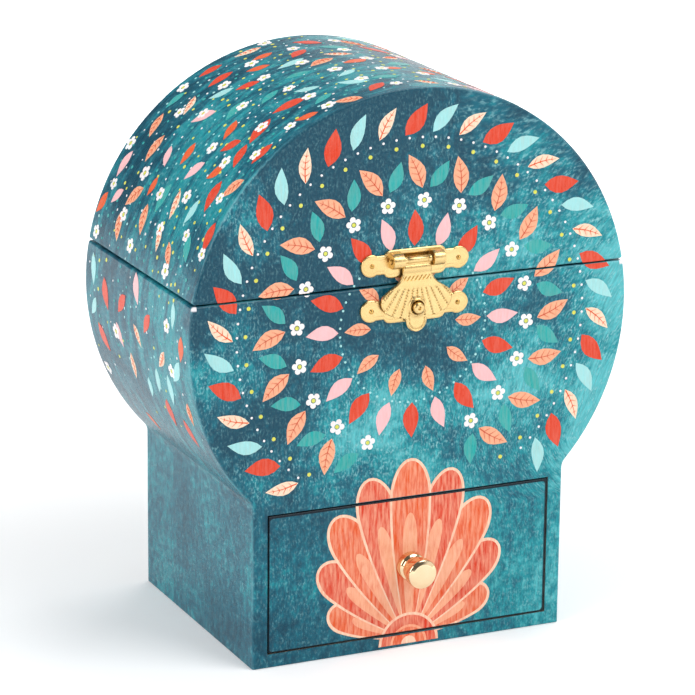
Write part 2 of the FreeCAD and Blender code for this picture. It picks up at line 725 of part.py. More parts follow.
def frame_parts():
    x0, x1, y0, y1 = bed_corners()
    tip, heel0, heel1 = comb_places()
    comb_low = train_z - comb_sheet / 2
    bed = block(x0, x1, y0, y1, shelf_z, bed_top)
    comb_block = block(heel0 + comb_slit, heel1, cylinder_y, bracket_y - slot_gap, bed_top, comb_low)
    bed = bed.fuse(comb_block)
    for x, y in bed_screws():
        bed = bed.cut(rod_z(screw_shank + seat_gap, x, y, shelf_z - 1, bed_top + 1))
    for x, y in comb_screw_places():
        bed = bed.cut(rod_z(screw_shank + seat_gap, x, y, comb_low - 3 * comb_sheet, comb_low + 1))
    bed = bed.cut(rod_z(spindle + run_gap, 0, spindle_y, shelf_z - 1, bed_top + 1))
    bed = bed.cut(rod_z(stop_wire + run_gap, stop_x, stop_y, shelf_z - 1, bed_top + 1))
    save("movement_bedplate", bed.removeSplitter())

    wide0 = barrel_x - 2 * plate_clear - arbor
    wide1 = 2 * plate_clear + fine_arbor
    high = train_z + 2 * plate_clear + arbor
    rear1 = governor_x + 2 * plate_clear + train_arbor
    plates = []
    for y, far in ((front_plate_y, wide1), (rear_plate_y, rear1)):
        shape = block(wide0, far, y, y + plate, bed_top, high)
        shape = shape.cut(rod_y(arbor + run_gap, barrel_x, train_z, y - 1, y + plate + 1))
        shape = shape.cut(rod_y(fine_arbor + run_gap, 0, train_z, y - 1, y + plate + 1))
        plates.append(shape)
    bracket = block(train_x - 2 * plate_clear, rear1, bracket_y, bracket_y + plate, bed_top,
                    train_low_z + 1.5 * plate_clear)
    for x in (train_x, governor_x):
        way = rod_y(train_arbor + run_gap, x, train_low_z, bracket_y - 1, room_back)
        plates[1] = plates[1].cut(way)
        bracket = bracket.cut(way)
    save("movement_plates", group(plates))
    save("train_bracket", bracket)

    comb = block(tip, heel1, cylinder_y, bracket_y - slot_gap, comb_low, comb_low + comb_sheet)
    pitch = (bracket_y - slot_gap - cylinder_y) / comb_teeth
    for i in range(1, comb_teeth):
        y = cylinder_y + i * pitch
        comb = comb.cut(block(tip - 1, heel0, y - comb_slit / 2, y + comb_slit / 2,
                              comb_low - 1, comb_low + 2 * comb_sheet))
    screws = []
    for x, y in comb_screw_places():
        comb = comb.cut(rod_z(screw_shank + seat_gap, x, y, comb_low - 1, comb_low + 2 * comb_sheet))
        screws.append(bolt(x, y, comb_low + comb_sheet, 3 * comb_sheet))
    save("comb", comb)
    screws += [bolt(x, y, bed_top, bedplate + 0.8 * board) for x, y in bed_screws()]
    save("movement_screws", group(screws))


def bolt(x, y, seat, depth):
    head = rod_z(screw_head * 0.8, x, y, seat, seat + screw_head_thick)
    slot = block(x - screw_head, x + screw_head, y - fan_sheet / 2, y + fan_sheet / 2,
                 seat + screw_head_thick / 2, seat + screw_head_thick + 1)
    return rod_z(screw_shank, x, y, seat - depth, seat).fuse(head).cut(slot).removeSplitter()


# Spring barrel, its wheel and the mainspring
def barrel_parts():
    drum_radius = barrel_pitch - 1.3 * gear_module - barrel_wall
    drum_y0 = front_plate_y + plate + slot_gap
    drum_y1 = drive_y
    drum = rod_y(drum_radius, barrel_x, train_z, drum_y0, drum_y1)
    hollow = rod_y(drum_radius - barrel_wall, barrel_x, train_z, drum_y0 + barrel_wall, drum_y1 + 1)
    bore = rod_y(arbor + run_gap, barrel_x, train_z, drum_y0 - 1, back_y)
    save("spring_barrel", drum.cut(hollow).cut(bore))
    save("barrel_wheel", toothed_wheel(barrel_teeth, gear_module, 0.0, barrel_x, train_z, drive_y + glue,
                                       wheel_width, arbor + run_gap))

    # The mainspring's turns are half circles about two centres, so that the strip steps out evenly
    inner = arbor + 2 * spring_sheet + run_gap
    outer_edges = []
    inner_edges = []
    for i in range(2 * spring_turns):
        side = 1 if i % 2 == 0 else -1
        centre = side * spring_step / 2
        radius = inner + spring_step * i
        outer_edges.append(half_turn(centre, radius + spring_sheet / 2, side))
        inner_edges.append(half_turn(centre, radius - spring_sheet / 2, side))
    caps = [line(outer_edges[0].Vertexes[0].Point, inner_edges[0].Vertexes[0].Point),
            line(outer_edges[-1].Vertexes[-1].Point, inner_edges[-1].Vertexes[-1].Point)]
    strip = Part.Face(Part.Wire(Part.__sortEdges__(outer_edges + inner_edges + caps)))
    length = drum_y1 - drum_y0 - barrel_wall - 2 * clear_gap
    ribbon = strip.extrude(vec(0, length, 0))
    ribbon.translate(vec(barrel_x, drum_y0 + barrel_wall + clear_gap, train_z))
    save("mainspring", ribbon)
    reach = inner + spring_step * (2 * spring_turns - 0.5) + spring_sheet / 2
    print("mainspring reach", reach, "drum room", drum_radius - barrel_wall)


def half_turn(centre, radius, side):
    start = vec(centre - side * radius, 0, 0)
    return arc(start, vec(centre, 0, side * radius), vec(centre + side * radius, 0, 0))


# Winding arbor and key
def key_parts():
    hub_y = back_y + eyelet_sheet + clear_gap
    end_y = hub_y + key_hub_length
    save("winding_arbor", rod_y(arbor, barrel_x, key_z, front_plate_y, end_y - clear_gap))
    sleeve = rod_y(key_hole + eyelet_sheet, barrel_x, key_z, back_y - room_inset, back_y + eyelet_sheet)
    flange = rod_y(eyelet_flange, barrel_x, key_z, back_y, back_y + eyelet_sheet)
    hole = rod_y(key_hole, barrel_x, key_z, back_y - case_depth, back_y + case_depth)
    save("key_eyelet", sleeve.fuse(flange).cut(hole).removeSplitter())

    key = rod_y(key_hub, barrel_x, key_z, hub_y, end_y)
    wing_y = end_y + 0.2 * key_wing_reach
    low = key_z - key_sheet / 2
    high = key_z + key_sheet / 2
    for side in (-1, 1):
        wing_x = barrel_x + side * key_wing_reach
        lobe = rod_z(key_wing, wing_x, wing_y, low, high)
        bridge = block(min(barrel_x, wing_x), max(barrel_x, wing_x), end_y - key_hub_length / 2,
                       wing_y + key_wing / 2, low, high)
        key = key.fuse(lobe).fuse(bridge).cut(rod_z(key_eye, wing_x, wing_y, low - 1, high + 1))
    key = key.cut(rod_y(arbor + seat_gap, barrel_x, key_z, hub_y - 1, end_y - clear_gap + seat_gap))
    save("winding_key", key.removeSplitter())


# Pinned cylinder on its arbor, with the wheels that it carries
def cylinder_parts():
    pinion = toothed_wheel(dancer_pinion_teeth, gear_module, math.pi / 2, 0, train_z, dancer_pinion_y,
                           wheel_width, 0)
    shaft = rod_y(fine_arbor, 0, train_z, dancer_pinion_y, rear_plate_y + plate)
    save("cylinder_arbor", shaft.fuse(pinion).removeSplitter())
    bore = fine_arbor + seat_gap
    end_y = cylinder_y + cylinder_length
    drum = rod_y(cylinder_radius, 0, train_z, cylinder_y, end_y)
    drum = drum.cut(rod_y(bore, 0, train_z, cylinder_y - 1, end_y + 1))
    pins = []
    sink = cylinder_radius - cylinder_pin
    pitch = (bracket_y - slot_gap - cylinder_y) / comb_teeth
    for i in range(comb_teeth):
        for k in range(cylinder_pin_rows):
            if (i * 5 + k * 3) % 4 == 0:
                turn = 2 * math.pi * (k + 0.37 * (i % 3)) / cylinder_pin_rows
                out = vec(math.cos(turn), 0, math.sin(turn))
                foot = vec(0, cylinder_y + (i + 0.5) * pitch, train_z) + out * sink
                pins.append(Part.makeCylinder(cylinder_pin, cylinder_pin_height + cylinder_pin, foot, out))
    save("music_cylinder", drum.multiFuse(pins).removeSplitter())
    save("cylinder_pinion", toothed_wheel(cylinder_pinion_teeth, gear_module,
                                          gap_phase(cylinder_pinion_teeth, math.pi), 0, train_z,
                                          drive_y + glue, wheel_width, bore))
    save("cylinder_wheel", toothed_wheel(cylinder_wheel_teeth, fine_module, math.radians(train_angle),
                                         0, train_z, governor_slot_y, wheel_width, bore))


# Speed train: a wheel and pinion on one arbor, then the governor with its fan
def train_parts():
    back = math.radians(train_angle) + math.pi
    low_y = bracket_y
    high_y = rear_plate_y + plate
    shaft = rod_y(train_arbor, train_x, train_low_z, low_y, high_y)
    pinion = toothed_wheel(train_pinion_teeth, fine_module, gap_phase(train_pinion_teeth, back),
                           train_x, train_low_z, governor_slot_y, wheel_width + slot_gap, 0)
    wheel = toothed_wheel(train_wheel_teeth, fine_module, 0.0, train_x, train_low_z, train_wheel_y,
                          wheel_width, 0)
    save("train_wheel", shaft.fuse(pinion).fuse(wheel).removeSplitter())

    shaft = rod_y(train_arbor, governor_x, train_low_z, low_y, high_y)
    pinion = toothed_wheel(governor_teeth, fine_module, gap_phase(governor_teeth, math.pi),
                           governor_x, train_low_z, train_wheel_y, wheel_width, 0)
    fan = block(governor_x - fan_radius, governor_x + fan_radius, governor_slot_y,
                governor_slot_y + wheel_width, train_low_z - fan_sheet, train_low_z + fan_sheet)
    save("governor_fan", shaft.fuse(pinion).fuse(fan).removeSplitter())


# Stop wire: the lid holds it down beside the fan, and it rises as the lid opens
def stop_parts():
    top = base_rim + paper + seam_gap
    wire = rod_z(stop_wire, stop_x, stop_y, shelf_z + clear_gap, top)
    foot_x = governor_x + fan_radius + clear_gap
    foot = rod_x(stop_wire, stop_y, train_low_z, foot_x, stop_x)
    save("stop_wire", wire.fuse(foot).removeSplitter())


# Dancer: a spindle with a turntable, a contrate wheel, a coil spring and a figure in a tutu
def dancer_parts():
    bush_top = floor_z + bush_flange_thick
    bush = rod_z(spindle + bush_wall, 0, spindle_y, tray_z, bush_top)
    bush = bush.fuse(rod_z(bush_flange, 0, spindle_y, floor_z, bush_top))
    bush = bush.cut(rod_z(spindle + run_gap, 0, spindle_y, tray_z - 1, bush_top + 1))
    save("spindle_bush", bush.removeSplitter())

    table_z = bush_top + clear_gap
    table_top = table_z + turntable_thick
    shaft = rod_z(spindle, 0, spindle_y, shelf_z + clear_gap, table_z + turntable_thick / 2)
    table = rod_z(turntable_radius, 0, spindle_y, table_z, table_top)
    top_edge = edges_on(table, lambda p: abs(p.z - table_top) < 1e-6)
    save("dancer_spindle", shaft.fuse(table.makeFillet(turntable_thick / 3, top_edge)).removeSplitter())
    save("contrate_wheel", contrate())

    foot_z = table_top + coil_height
    save("dancer_spring", coil(table_top + coil_wire / 2, foot_z - coil_wire / 2))
    cap_z = foot_z + glue
    save("dancer_figure", figure(cap_z, cap_z + dancer_cap))
    save("dancer_tutu", tutu(cap_z + dancer_cap + dancer_waist * dancer_height))


def contrate():
    tip_z = mesh_z - 0.9 * gear_module
    root_z = mesh_z + 1.2 * gear_module
    slope = math.tan(math.radians(20))
    half = math.pi * gear_module / 4 - contrate_backlash / 4
    tip_half = half - 0.9 * gear_module * slope
    root_half = half + 1.2 * gear_module * slope
    r0 = contrate_pitch - wheel_width / 2
    r1 = contrate_pitch + wheel_width / 2
    teeth = []
    for i in range(contrate_teeth):
        # The teeth straddle the pinion's upright tooth, so a space faces +Y
        turn = 360.0 * (i + 0.5) / contrate_teeth
        points = [vec(r0, -tip_half, tip_z), vec(r0, tip_half, tip_z), vec(r0, root_half, root_z + glue),
                  vec(r0, -root_half, root_z + glue)]
        tooth = Part.Face(Part.makePolygon(points + points[:1])).extrude(vec(r1 - r0, 0, 0))
        tooth.rotate(vec(0, 0, 0), vec(0, 0, 1), 90.0 + turn)
        teeth.append(tooth)
    disc = rod_z(r1, 0, 0, root_z, root_z + wheel_width)
    wheel = disc.multiFuse(teeth)
    wheel = wheel.cut(rod_z(spindle + seat_gap, 0, 0, tip_z - 1, root_z + wheel_width + 1)).removeSplitter()
    wheel.translate(vec(0, spindle_y, 0))
    return wheel


def tangent_arc(start, direction, end):
    # The arc that leaves start along direction and reaches end
    chord = end - start
    unit = vec(*chord).normalize()
    across = direction - unit * direction.dot(unit)
    turn = direction.getAngle(chord)
    middle = (start + end) * 0.5
    across.normalize()
    return arc(start, middle + across * (chord.Length / 2 * math.tan(turn / 2)), end)


def coil(z0, z1):
    steps = 4 * coil_turns
    rise = (z1 - z0) / steps
    points = []
    ways = []
    for i in range(steps + 1):
        a = math.pi / 2 * i
        points.append(vec(coil_radius * math.cos(a), spindle_y + coil_radius * math.sin(a), z0 + rise * i))
        way = vec(-coil_radius * math.sin(a), coil_radius * math.cos(a), rise / (math.pi / 2))
        ways.append(way.normalize())
    edges = []
    for p, q, s, t in zip(points, points[1:], ways, ways[1:]):
        # Two arcs that meet smoothly between quarter turns
        chord = q - p
        both = s + t
        k = 2 * (1 - s.dot(t))
        half = chord.dot(both)
        d = (-half + math.sqrt(half * half + k * chord.dot(chord))) / k if k > 1e-9 else chord.Length / 2
        joint = (p + q + (s - t) * d) * 0.5
        edges.append(tangent_arc(p, s, joint))
        way = (q - t * d) - (p + s * d)
        edges.append(tangent_arc(joint, way.normalize(), q))
    path = Part.Wire(edges)
    ring = Part.Wire([Part.makeCircle(coil_wire / 2, points[0], ways[0])])
    print("coil least gap to itself", least_gap(path, 2 * math.pi * coil_radius, coil_wire))
    return path.makePipeShell([ring], True, False)


def least_gap(path, turn, wire):
    # Least distance between points of the path that lie at least half a turn apart along it
    count = int(path.Length / wire * 4)
    points = path.discretize(count)
    apart = int(turn / 2 / path.Length * count)
    return min(p.distanceToPoint(q) for i, p in enumerate(points) for q in points[i + apart:]) - wire


def figure(cap_z, foot_z):
    # A dancer on one leg on a round cap, the other leg drawn up to the knee, arms in a ring overhead
    h = dancer_height
    x, y = 0.0, spindle_y

    def at(share, dx=0.0, dy=0.0):
        return vec(x + dx * h, y + dy * h, foot_z + share * h)

    def stem(sections):
        rings = [Part.Wire([Part.makeCircle(r * h, p, d)]) for p, d, r in sections]
        return Part.makeLoft(rings, True, True)
    up = vec(0, 0, 1)
    leg = stem([(at(0.0), up, 0.014), (at(0.06), up, 0.022), (at(0.16), up, 0.033), (at(0.26), up, 0.029),
                (at(0.38), up, 0.043), (at(0.48), up, 0.05)])
    body = stem([(at(0.46), up, 0.068), (at(dancer_waist), up, dancer_hips), (at(0.6), up, 0.05),
                 (at(0.68), up, 0.066), (at(0.74), up, 0.06), (at(0.77), up, 0.026), (at(0.81), up, 0.024)])
    cap = rod_z(coil_radius + coil_wire / 2, x, y, cap_z, foot_z + 0.01 * h)
    thigh = Part.makeCone(0.045 * h, 0.03 * h, 0.2 * h, at(0.46, 0.03), vec(0.8, -0.3, -0.55))
    knee = at(0.46, 0.03) + vec(0.8, -0.3, -0.55).normalize() * (0.2 * h)
    shin = Part.makeCone(0.03 * h, 0.016 * h, 0.2 * h, knee, at(0.25, 0.02) - knee)
    head = Part.makeSphere(0.066 * h, at(0.865))
    bun = Part.makeSphere(0.034 * h, at(0.93, 0, 0.03))
    arms = []
    for side in (-1, 1):
        way = arc(at(0.735, side * 0.055), at(0.87, side * 0.15), at(1.0, side * 0.03))
        start = way.tangentAt(way.FirstParameter)
        ring = Part.Wire([Part.makeCircle(0.018 * h, at(0.735, side * 0.055), start)])
        arms.append(Part.Wire([way]).makePipeShell([ring], True, False))
    shape = body.multiFuse([cap, leg, thigh, Part.makeSphere(0.03 * h, knee), shin, head, bun] + arms)
    return shape.removeSplitter()


def tutu(waist_z):
    # A pleated disc of net, standing out from the hips and dipping to its edge
    inner = dancer_hips * dancer_height + clear_gap
    count = 2 * tutu_pleats
    rings = []
    for radius, wave, drop in ((inner, 0.0, 0.0), (tutu_radius, tutu_wave, 1.6 * tutu_wave)):
        ring = []
        for i in range(count):
            a = 2 * math.pi * i / count
            z = waist_z - drop + (wave / 2 if i % 2 else -wave / 2)
            ring.append(vec(radius * math.cos(a), spindle_y + radius * math.sin(a), z))
        rings.append(ring)
    top_in, top_out = rings
    down = vec(0, 0, -tutu_sheet)
    low_in = [p + down for p in top_in]
    low_out = [p + down for p in top_out]
    faces = []
    for i in range(count):
        k = (i + 1) % count
        faces += quad(top_in[i], top_out[i], top_out[k], top_in[k])
        faces += quad(low_in[i], low_in[k], low_out[k], low_out[i])
        faces += quad(top_out[i], low_out[i], low_out[k], top_out[k])
        faces += quad(top_in[i], top_in[k], low_in[k], low_in[i])
    return Part.makeSolid(Part.makeShell(faces))


def quad(a, b, c, d):
    return [Part.Face(Part.makePolygon([a, b, c, a])), Part.Face(Part.makePolygon([a, c, d, a]))]


case_parts()
tray_parts()
lid_parts()
clasp_parts()
hinge_parts()
drawer_parts()
frame_parts()
barrel_parts()
key_parts()
cylinder_parts()
train_parts()
stop_parts()
dancer_parts()
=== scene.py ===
import json
import math

import bmesh
import bpy
from mathutils import Matrix, Quaternion, Vector, noise

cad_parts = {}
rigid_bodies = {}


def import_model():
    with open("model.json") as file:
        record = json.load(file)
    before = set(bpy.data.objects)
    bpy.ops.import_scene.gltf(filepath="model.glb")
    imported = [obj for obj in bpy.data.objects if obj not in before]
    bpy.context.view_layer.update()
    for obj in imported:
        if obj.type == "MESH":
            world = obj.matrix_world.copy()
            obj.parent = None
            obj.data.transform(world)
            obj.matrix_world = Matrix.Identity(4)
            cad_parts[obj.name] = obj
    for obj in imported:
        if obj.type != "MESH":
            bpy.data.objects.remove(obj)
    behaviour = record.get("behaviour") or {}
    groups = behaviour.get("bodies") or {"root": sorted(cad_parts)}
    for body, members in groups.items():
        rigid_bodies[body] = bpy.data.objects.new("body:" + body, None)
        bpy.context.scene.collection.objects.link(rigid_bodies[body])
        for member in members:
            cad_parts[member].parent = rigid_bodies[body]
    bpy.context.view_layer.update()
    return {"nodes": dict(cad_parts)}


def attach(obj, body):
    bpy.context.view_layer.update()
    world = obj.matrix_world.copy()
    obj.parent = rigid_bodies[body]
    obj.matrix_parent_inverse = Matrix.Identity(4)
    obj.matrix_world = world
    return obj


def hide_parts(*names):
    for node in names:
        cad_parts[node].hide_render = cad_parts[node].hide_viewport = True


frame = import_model()
nodes = frame["nodes"]
scene = bpy.context.scene
scene.view_settings.view_transform = "Standard"
mm = 0.001
print("frame loaded:", len(nodes), "nodes")

# the box's own sizes, in millimetres, as the CAD has them
caseSizes = {
    "headRadius": 75.0,
    "headZ": 106.5,
    "frontY": -44.5,
    "backY": 44.5,
    "seamZ": 120.0,
    "seamHalf": 0.25,
    "drawerLow": 4.8,
    "drawerHigh": 50.0,
    "drawerHalf": 48.6,
}


# small helpers for meshes and pieces
def ink(*parts):
    tone = []
    for part in parts:
        share = part / 255
        tone.append(share / 12.92 if share <= 0.04045 else ((share + 0.055) / 1.055) ** 2.4)
    return (*tone, 1.0)


def fullTurn(count):
    return [2 * math.pi * i / count for i in range(count)]


def newObject(name, data):
    made = bpy.data.objects.new(name, data)
    scene.collection.objects.link(made)
    return made


def meshFrom(name, bm):
    mesh = bpy.data.meshes.new(name)
    bm.to_mesh(mesh)
    bm.free()
    return mesh


def shadeSmooth(mesh, angle):
    mesh.shade_smooth()
    mesh.set_sharp_from_angle(angle=math.radians(angle))
    return mesh


def placed(mesh, matrix):
    mesh.transform(matrix)
    return mesh


def joined(meshes):
    bm = bmesh.new()
    for mesh in meshes:
        bm.from_mesh(mesh)
    return bm


def oneMesh(name, meshes, angle):
    return shadeSmooth(meshFrom(name, joined(meshes)), angle)


def flattened(holder):
    # the holder's mesh with its modifiers applied; the holder goes
    graph = bpy.context.evaluated_depsgraph_get()
    mesh = bpy.data.meshes.new_from_object(holder.evaluated_get(graph), preserve_all_data_layers=True,
                                           depsgraph=graph)
    bpy.data.objects.remove(holder)
    return mesh


def applied(mesh, kind, **settings):
    holder = newObject("holder", mesh)
    modifier = holder.modifiers.new("work", kind)
    for key, value in settings.items():
        setattr(modifier, key, value)
    return flattened(holder)


def addPiece(name, mesh, body, slot, finish, *standsFor):
    mesh.materials.clear()
    mesh.materials.append(finish)
    mesh.name = name
    piece = newObject(name, mesh)
    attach(piece, body)
    if standsFor:
        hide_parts(*standsFor)
    return piece


# camera at the photograph's place
cameraSettings = {
    "azimuth": -24.98,
    "elevation": 16.36,
    "distance": 1.11064,
    "target": (0.0, 0.0, 0.085),
    "roll": 0.62,
    "sensor": 36,
    "lens": 178.04,
    "shiftX": -0.00695,
    "shiftY": 0.00902,
}


def placeCamera(settings):
    azimuth = math.radians(settings["azimuth"])
    elevation = math.radians(settings["elevation"])
    back = Vector((math.sin(azimuth) * math.cos(elevation), -math.cos(azimuth) * math.cos(elevation),
                   math.sin(elevation)))
    data = bpy.data.cameras.new("camera")
    data.sensor_width = settings["sensor"]
    data.lens = settings["lens"]
    data.shift_x = settings["shiftX"]
    data.shift_y = settings["shiftY"]
    camera = newObject("camera", data)
    camera.location = Vector(settings["target"]) + back * settings["distance"]
    camera.rotation_mode = "QUATERNION"
    turn = Quaternion((0, 0, 1), math.radians(settings["roll"]))
    camera.rotation_quaternion = (-back).to_track_quat("-Z", "Y") @ turn
    scene.camera = camera


placeCamera(cameraSettings)


# node helpers
def feed(tree, source, socket):
    if isinstance(source, bpy.types.NodeSocket):
        tree.links.new(source, socket)
    else:
        socket.default_value = source


def addNode(tree, kind, inputs=None, **settings):
    node = tree.nodes.new(kind)
    for key, value in settings.items():
        setattr(node, key, value)
    for key, value in (inputs or {}).items():
        feed(tree, value, node.inputs[key])
    return node


def worked(tree, kind, inputs, **settings):
    return addNode(tree, kind, inputs, **settings).outputs[0]


def calc(tree, operation, *values):
    return worked(tree, "ShaderNodeMath", dict(enumerate(values)), operation=operation)


def plus(tree, first, second):
    return calc(tree, "ADD", first, second)


def minus(tree, first, second):
    return calc(tree, "SUBTRACT", first, second)


def times(tree, first, second):
    return calc(tree, "MULTIPLY", first, second)


def combine(tree, *values):
    return worked(tree, "ShaderNodeCombineXYZ", dict(enumerate(values)))


def split(tree, place):
    return addNode(tree, "ShaderNodeSeparateXYZ", {0: place}).outputs


def spread(tree, value, low, high, toLow=0.0, toHigh=1.0):
    return worked(tree, "ShaderNodeMapRange", dict(enumerate((value, low, high, toLow, toHigh))))


def spreadOver(tree, value, span, toLow=0.0, toHigh=1.0):
    # the same with its span in millimetres
    return spread(tree, value, span[0] * mm, span[1] * mm, toLow, toHigh)


def noiseAt(tree, place, scale, detail=2.0, roughness=0.5):
    inputs = {"Vector": place, "Scale": scale, "Detail": detail, "Roughness": roughness}
    return addNode(tree, "ShaderNodeTexNoise", inputs).outputs["Fac"]


def rampOf(tree, factor, stops):
    node = addNode(tree, "ShaderNodeValToRGB", {"Fac": factor})
    elements = node.color_ramp.elements
    while len(elements) < len(stops):
        elements.new(0.5)
    for element, (place, tone) in zip(elements, stops):
        element.position = place
        element.color = tone
    return node.outputs["Color"]


def mixTone(tree, factor, first, second, blend="MIX"):
    inputs = {0: factor, 6: first, 7: second}  # the colour sockets
    return addNode(tree, "ShaderNodeMix", inputs, data_type="RGBA", blend_type=blend).outputs[2]


def mixNumber(tree, factor, first, second):
    inputs = {0: factor, 2: first, 3: second}  # the number sockets
    return worked(tree, "ShaderNodeMix", inputs, data_type="FLOAT")


def objectPlace(tree):
    return addNode(tree, "ShaderNodeTexCoord").outputs["Object"]


def attributeTone(tree, name):
    return addNode(tree, "ShaderNodeAttribute", attribute_name=name).outputs["Color"]


def newGroup(name, inputs, outputs, kind="ShaderNodeTree"):
    group = bpy.data.node_groups.new(name, kind)
    for label, socketType, value in inputs:
        socket = group.interface.new_socket(label, in_out="INPUT", socket_type="NodeSocket" + socketType)
        if value is not None:
            socket.default_value = value
    for label, socketType in outputs:
        group.interface.new_socket(label, in_out="OUTPUT", socket_type="NodeSocket" + socketType)
    return group, addNode(group, "NodeGroupInput").outputs, addNode(group, "NodeGroupOutput").inputs


def useGroup(tree, group, **values):
    return addNode(tree, "ShaderNodeGroup", values, node_tree=group).outputs


def newFinish(name, **sockets):
    finish = bpy.data.materials.new(name)
    finish.use_nodes = True
    surface = finish.node_tree.nodes["Principled BSDF"].inputs
    for key, value in sockets.items():
        label = "".join(" " + c if c.isupper() else c for c in key).strip().title()
        surface[label.replace("Ior", "IOR")].default_value = value
    return finish, finish.node_tree, surface


def dress(tree, surface, tone, rough):
    feed(tree, tone, surface["Base Color"])
    feed(tree, rough, surface["Roughness"])


def addBump(tree, surface, height, strength, distance=0.0001):
    inputs = {"Strength": strength, "Distance": distance, "Height": height}
    feed(tree, addNode(tree, "ShaderNodeBump", inputs).outputs["Normal"], surface["Normal"])


# shared effects
def makePencilGrain():
    group, given, out = newGroup(
        "pencilGrain",
        [("Place", "Vector", None), ("Across", "Float", 800.0), ("Along", "Float", 70.0),
         ("Tooth", "Float", 2200.0)],
        [("Strokes", "Float"), ("Tooth", "Float")])
    parts = split(group, given["Place"])
    scales = (given["Across"], given["Across"], given["Along"])
    drawn = [times(group, part, scale) for part, scale in zip(parts, scales)]
    strokes = noiseAt(group, combine(group, *drawn), 1.0, 3.0, 0.6)
    feed(group, spread(group, strokes, 0.34, 0.66), out["Strokes"])
    x, y, z = [times(group, part, given["Tooth"]) for part in parts]
    tooth = noiseAt(group, combine(group, x, y, times(group, z, 0.55)), 1.0, 2.0, 0.6)
    feed(group, spread(group, tooth, 0.35, 0.68), out["Tooth"])
    return group


noiseLayers = {
    # output, name and value of its scale, detail, roughness, span that is kept
    "wornGrain": [("Grain", "Fine", 3000.0, 2.0, 0.5, None), ("Patch", "Broad", 140.0, 4.0, 0.6, (0.3, 0.7))],
    "fibreNap": [("Fibre", "Fine", 2600.0, 3.0, 0.7, (0.3, 0.7)),
                 ("Nap", "Swirl", 90.0, 2.0, 0.5, (0.35, 0.65))],
}


def makeNoisePair(name):
    layers = noiseLayers[name]
    inputs = [("Place", "Vector", None)] + [(layer[1], "Float", layer[2]) for layer in layers]
    group, given, out = newGroup(name, inputs, [(layer[0], "Float") for layer in layers])
    for label, scale, _, detail, roughness, span in layers:
        value = noiseAt(group, given["Place"], given[scale], detail, roughness)
        feed(group, spread(group, value, *span) if span else value, out[label])
    return group


pencilGrain = makePencilGrain()
wornGrain = makeNoisePair("wornGrain")
fibreNap = makeNoisePair("fibreNap")

# printed paper: a teal pencil ground, its strokes upright on the flat faces and round the arch on its sides
groundTones = {
    "slate": ink(8, 72, 92),
    "teal": ink(12, 104, 124),
    "turquoise": ink(24, 152, 162),
    "pale": ink(92, 198, 204),
    "stroke": ink(4, 54, 76),
    "fleck": ink(150, 206, 210),
    # paler tone where the edges show wear and a painted highlight
    "edge": ink(150, 196, 204),
    # near-black tone of the painted shade round the drawer
    "line": ink(2, 18, 30),
    "core": ink(236, 232, 236),
}
groundStops = [(0.38, groundTones["slate"]), (0.5, groundTones["teal"]), (0.61, groundTones["turquoise"]),
               (0.72, groundTones["pale"])]
paperSettings = {
    "flatDepth": 0.35,  # how far the flat faces reach in from the front and back, in millimetres
    "headFrom": 57.0,
    "waist": (44.0, 63.0),
    "paleAcross": 1.0,  # how fast the ground pales to the right, per metre
    "paleHead": 0.5,  # how much faster it does so on the head
    "paleDown": 1.8,  # and down the head
    "paleRim": 0.15,  # and over the last of the head's right half
    "rim": (35.0, 75.0),
    "deepHead": 0.008,
    "mostBend": 0.61,  # the palest that the ground gets on the bent faces
    "patches": (26.0, 3.0, 0.55),  # scale, detail and roughness
    "patchesBase": (0.0, 1.0, 0.26, 0.76),
    "calmArch": 0.62,  # how much of the patches is left on the arch
    "mottling": (380.0, 5.0, 0.68),
    "mottle": 0.55,
    "mottleArch": 0.85,
    "drawnOut": 0.7,  # how long the mottling is along the strokes, as a scale
    "drawnOutArch": 0.2,
    "wideArch": 0.6,  # and how wide
    "lean": 0.6,  # how far the strokes lean on the right of the head
    "leanOver": (15.0, 70.0),
    "strokes": 0.42,
    "clumps": (290.0, 3.0, 0.6),
    "clumped": (0.4, 0.66, 0.25, 1.0),
    "flecked": (0.42, 0.85),
    "flecks": (0.36, 0.6, 0.18, 0.85),
    "flecksArch": 0.55,  # how many of them are left on the arch
    "flecksBase": 0.55,  # and below the waist
    "foldIn": (43.4, 44.0),  # edge paler from wear and a painted highlight on its rounding, by depth
    "foldOut": (44.5, 44.2),
    "worn": (0.4, 0.7, 0.05, 0.32),
    "chipBelow": (1.7, 1.2),  # bare corner under the seam
    "chipDepth": (43.2, 44.0),
    "chipFrom": 72.5,
    "lineLeft": 0.35,  # painted shade: a dark line round the drawer, standing in for the shadow in its gap, in millimetres
    "lineRight": 0.75,
    "lineLow": 0.45,
    "lineTop": 0.85,
    "lineRound": 1.1,
    "lineSoft": 0.1,
    "lineShare": 0.97,
    "lineDepth": (43.2, 43.9),
}


def drawerGapShade(tree, x, z, depth):
    # painted shade of the drawer's gap: how far a place is past the rounded inner edge of the dark line
    settings = paperSettings
    reach = settings["lineRound"]
    left = settings["lineLeft"] - caseSizes["drawerHalf"]
    right = caseSizes["drawerHalf"] - settings["lineRight"]
    bottom = caseSizes["drawerLow"] + settings["lineLow"]
    top = caseSizes["drawerHigh"] - settings["lineTop"]
    squares = []
    for way, low, high in ((x, left, right), (z, bottom, top)):
        away = calc(tree, "ABSOLUTE", minus(tree, way, (low + high) / 2 * mm))
        past = calc(tree, "MAXIMUM", minus(tree, away, ((high - low) / 2 - reach) * mm), 0.0)
        squares.append(times(tree, past, past))
    past = calc(tree, "SQRT", plus(tree, *squares))
    edge = (reach - settings["lineSoft"], reach + settings["lineSoft"])
    line = spreadOver(tree, past, edge, 0.0, settings["lineShare"])
    return times(tree, line, spreadOver(tree, depth, settings["lineDepth"]))


